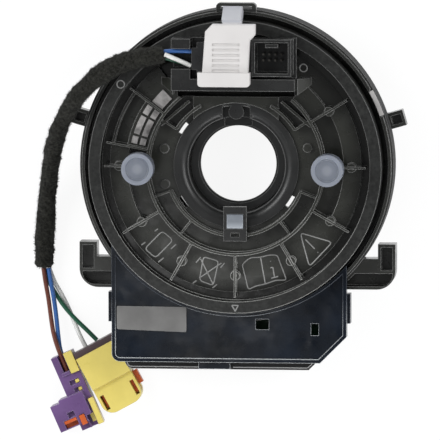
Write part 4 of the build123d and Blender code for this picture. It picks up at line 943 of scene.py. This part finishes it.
# Pale plate on the rim's facet: painted highlight
rim_outer, rim_inner = RIM_HIGHLIGHT_RADII
rim_start, rim_end = RIM_HIGHLIGHT_ANGLES
rim_outline = arc((0, 0), rim_outer, rim_start, rim_end, ARC_STEPS)
rim_outline += arc((0, 0), rim_inner, rim_end, rim_start, ARC_STEPS)
rim_level = RIM_LEVEL - RIM_HIGHLIGHT_SINK
rim_highlight_plate = plate("rim_highlight_plate", "pale_highlight", rim_outline, rim_level, RIM_HIGHLIGHT_THICKNESS)
for piece, body, slot in (
    (symbols, "rotor", "rotor_black"),
    (flange_marks, "rotor", "rotor_black"),
    (foot_highlight_line, "stator", "stator_black"),
    (box_label, "stator", "cover_black"),
    (rim_highlight_plate, "stator", "stator_black"),
):
    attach(piece, body)


# Soft studio light: the place, size, power and aim of each lamp
PART_MIDDLE = (0, 0, 0.02)
LAMPS = {
    "softbox_left": ((-0.75, 0.35, 0.75), (0.7, 0.5), 7, PART_MIDDLE),
    "softbox_right": ((0.8, 0.15, 0.6), (0.6, 0.5), 4.5, PART_MIDDLE),
    "softbox_front": ((0.05, -0.9, 0.55), (0.9, 0.35), 4, PART_MIDDLE),
    "near_card": ((-0.042, -0.082, 0.30), (0.09, 0.05), 0.019, (-0.014, -0.048, 0.034)),
}
for name, (place, size, power, aim) in LAMPS.items():
    lamp_data = bpy.data.lights.new(name, "AREA")
    lamp_data.shape = "RECTANGLE"
    lamp_data.size, lamp_data.size_y = size
    lamp_data.energy = power
    lamp = placed(name, lamp_data)
    lamp.location = place
    lamp.rotation_euler = (Vector(aim) - Vector(place)).to_track_quat("-Z", "Y").to_euler()
    lamp.visible_camera = False


def seen_by_eye(tree):
    """One for camera, mirror and glass rays, which see the plain background."""
    rays = add(tree, "ShaderNodeLightPath").outputs
    mirror_too = maths(tree, "MAXIMUM", rays["Is Camera Ray"], rays["Is Glossy Ray"])
    return maths(tree, "MAXIMUM", mirror_too, rays["Is Transmission Ray"])


def seen_or_lit(tree, lit, seen, output):
    """One shader for the light that falls on the part, another for what the eye sees."""
    choose = add(tree, "ShaderNodeMixShader", Fac=seen_by_eye(tree))
    tree.links.new(lit, choose.inputs[1])
    tree.links.new(seen, choose.inputs[2])
    tree.links.new(choose.outputs["Shader"], tree.nodes[output].inputs["Surface"])


# Background: pale at the horizon and darker overhead, where the gloss mirrors it
SKY_COLOUR = (0.93, 0.95, 0.97)
SKY_LIGHT = 0.42
BACKDROP_COLOUR = (0.98, 0.99, 1.0)
HORIZON_HEIGHT = 0.3
ZENITH_HEIGHT = 0.9
HORIZON_WHITE = 0.95
ZENITH_GREY = 0.24
world = bpy.data.worlds.new("studio")
bpy.context.scene.world = world
world.use_nodes = True
world_tree = world.node_tree
sky = give(world_tree, world_tree.nodes["Background"], Color=SKY_COLOUR, Strength=SKY_LIGHT)
direction = add(world_tree, "ShaderNodeTexCoord").outputs["Generated"]
height = add(world_tree, "ShaderNodeSeparateXYZ", Vector=direction).outputs["Z"]
shade = remap(world_tree, height, HORIZON_HEIGHT, ZENITH_HEIGHT, HORIZON_WHITE, ZENITH_GREY)
backdrop = add(world_tree, "ShaderNodeBackground", Color=BACKDROP_COLOUR, Strength=shade)
seen_or_lit(world_tree, sky.outputs["Background"], backdrop.outputs["Background"], "World Output")

# Floor: white to the eye, with a soft shadow
FLOOR_REACH = 6.0
FLOOR_LEVEL = -0.0003
FLOOR_COLOUR = (0.86, 0.86, 0.86)
FLOOR_ROUGH = 0.9
FLOOR_SHINE = 0.1
SHADOW_COLOUR = (0.13, 0.13, 0.13)
FLOOR_WHITE = 0.9
floor_mesh = bpy.data.meshes.new("studio_floor")
floor_corners = [
    (x * FLOOR_REACH, y * FLOOR_REACH, FLOOR_LEVEL) for x, y in ((-1, -1), (1, -1), (1, 1), (-1, 1))
]
floor_mesh.from_pydata(floor_corners, [], [(0, 1, 2, 3)])
floor = placed("studio_floor", floor_mesh)
floor_mat, floor_tree, matt = node_tree("floor_white")
give(
    floor_tree, matt, Base_Color=FLOOR_COLOUR, Roughness=FLOOR_ROUGH, Specular_IOR_Level=FLOOR_SHINE
)
shadowed = add(floor_tree, "ShaderNodeBsdfDiffuse", Color=SHADOW_COLOUR)
glow = add(floor_tree, "ShaderNodeEmission", Color=(1, 1, 1), Strength=FLOOR_WHITE)
white = add(floor_tree, "ShaderNodeAddShader")
floor_tree.links.new(shadowed.outputs["BSDF"], white.inputs[0])
floor_tree.links.new(glow.outputs["Emission"], white.inputs[1])
seen_or_lit(floor_tree, matt.outputs["BSDF"], white.outputs["Shader"], "Material Output")
floor_mesh.materials.append(floor_mat)

# Camera: nearly straight above, a little to the right and to the top, with a long lens
DISTANCE = 5.0
FAR_LIMIT = 50
PIXELS = 440
PIXEL = 0.42 * MM
SENSOR = 36
VIEW = Vector((0.0924, 0.1008, 1.0)).normalized()
TARGET = Vector((-6.2, -22.3, FLANGE_LEVEL)) * MM
camera_data = bpy.data.cameras.new("photo_camera")
camera_data.sensor_width = SENSOR
camera_data.lens = SENSOR * DISTANCE / (PIXELS * PIXEL)
camera_data.clip_end = FAR_LIMIT
camera = placed("photo_camera", camera_data)
across = Vector((0, 1, 0)).cross(VIEW).normalized()
upward = VIEW.cross(across)
turned = Matrix((across, upward, VIEW)).transposed().to_4x4()
camera.matrix_world = Matrix.Translation(TARGET + VIEW * DISTANCE) @ turned
bpy.context.scene.camera = camera
bpy.context.scene.view_settings.view_transform = "Standard"
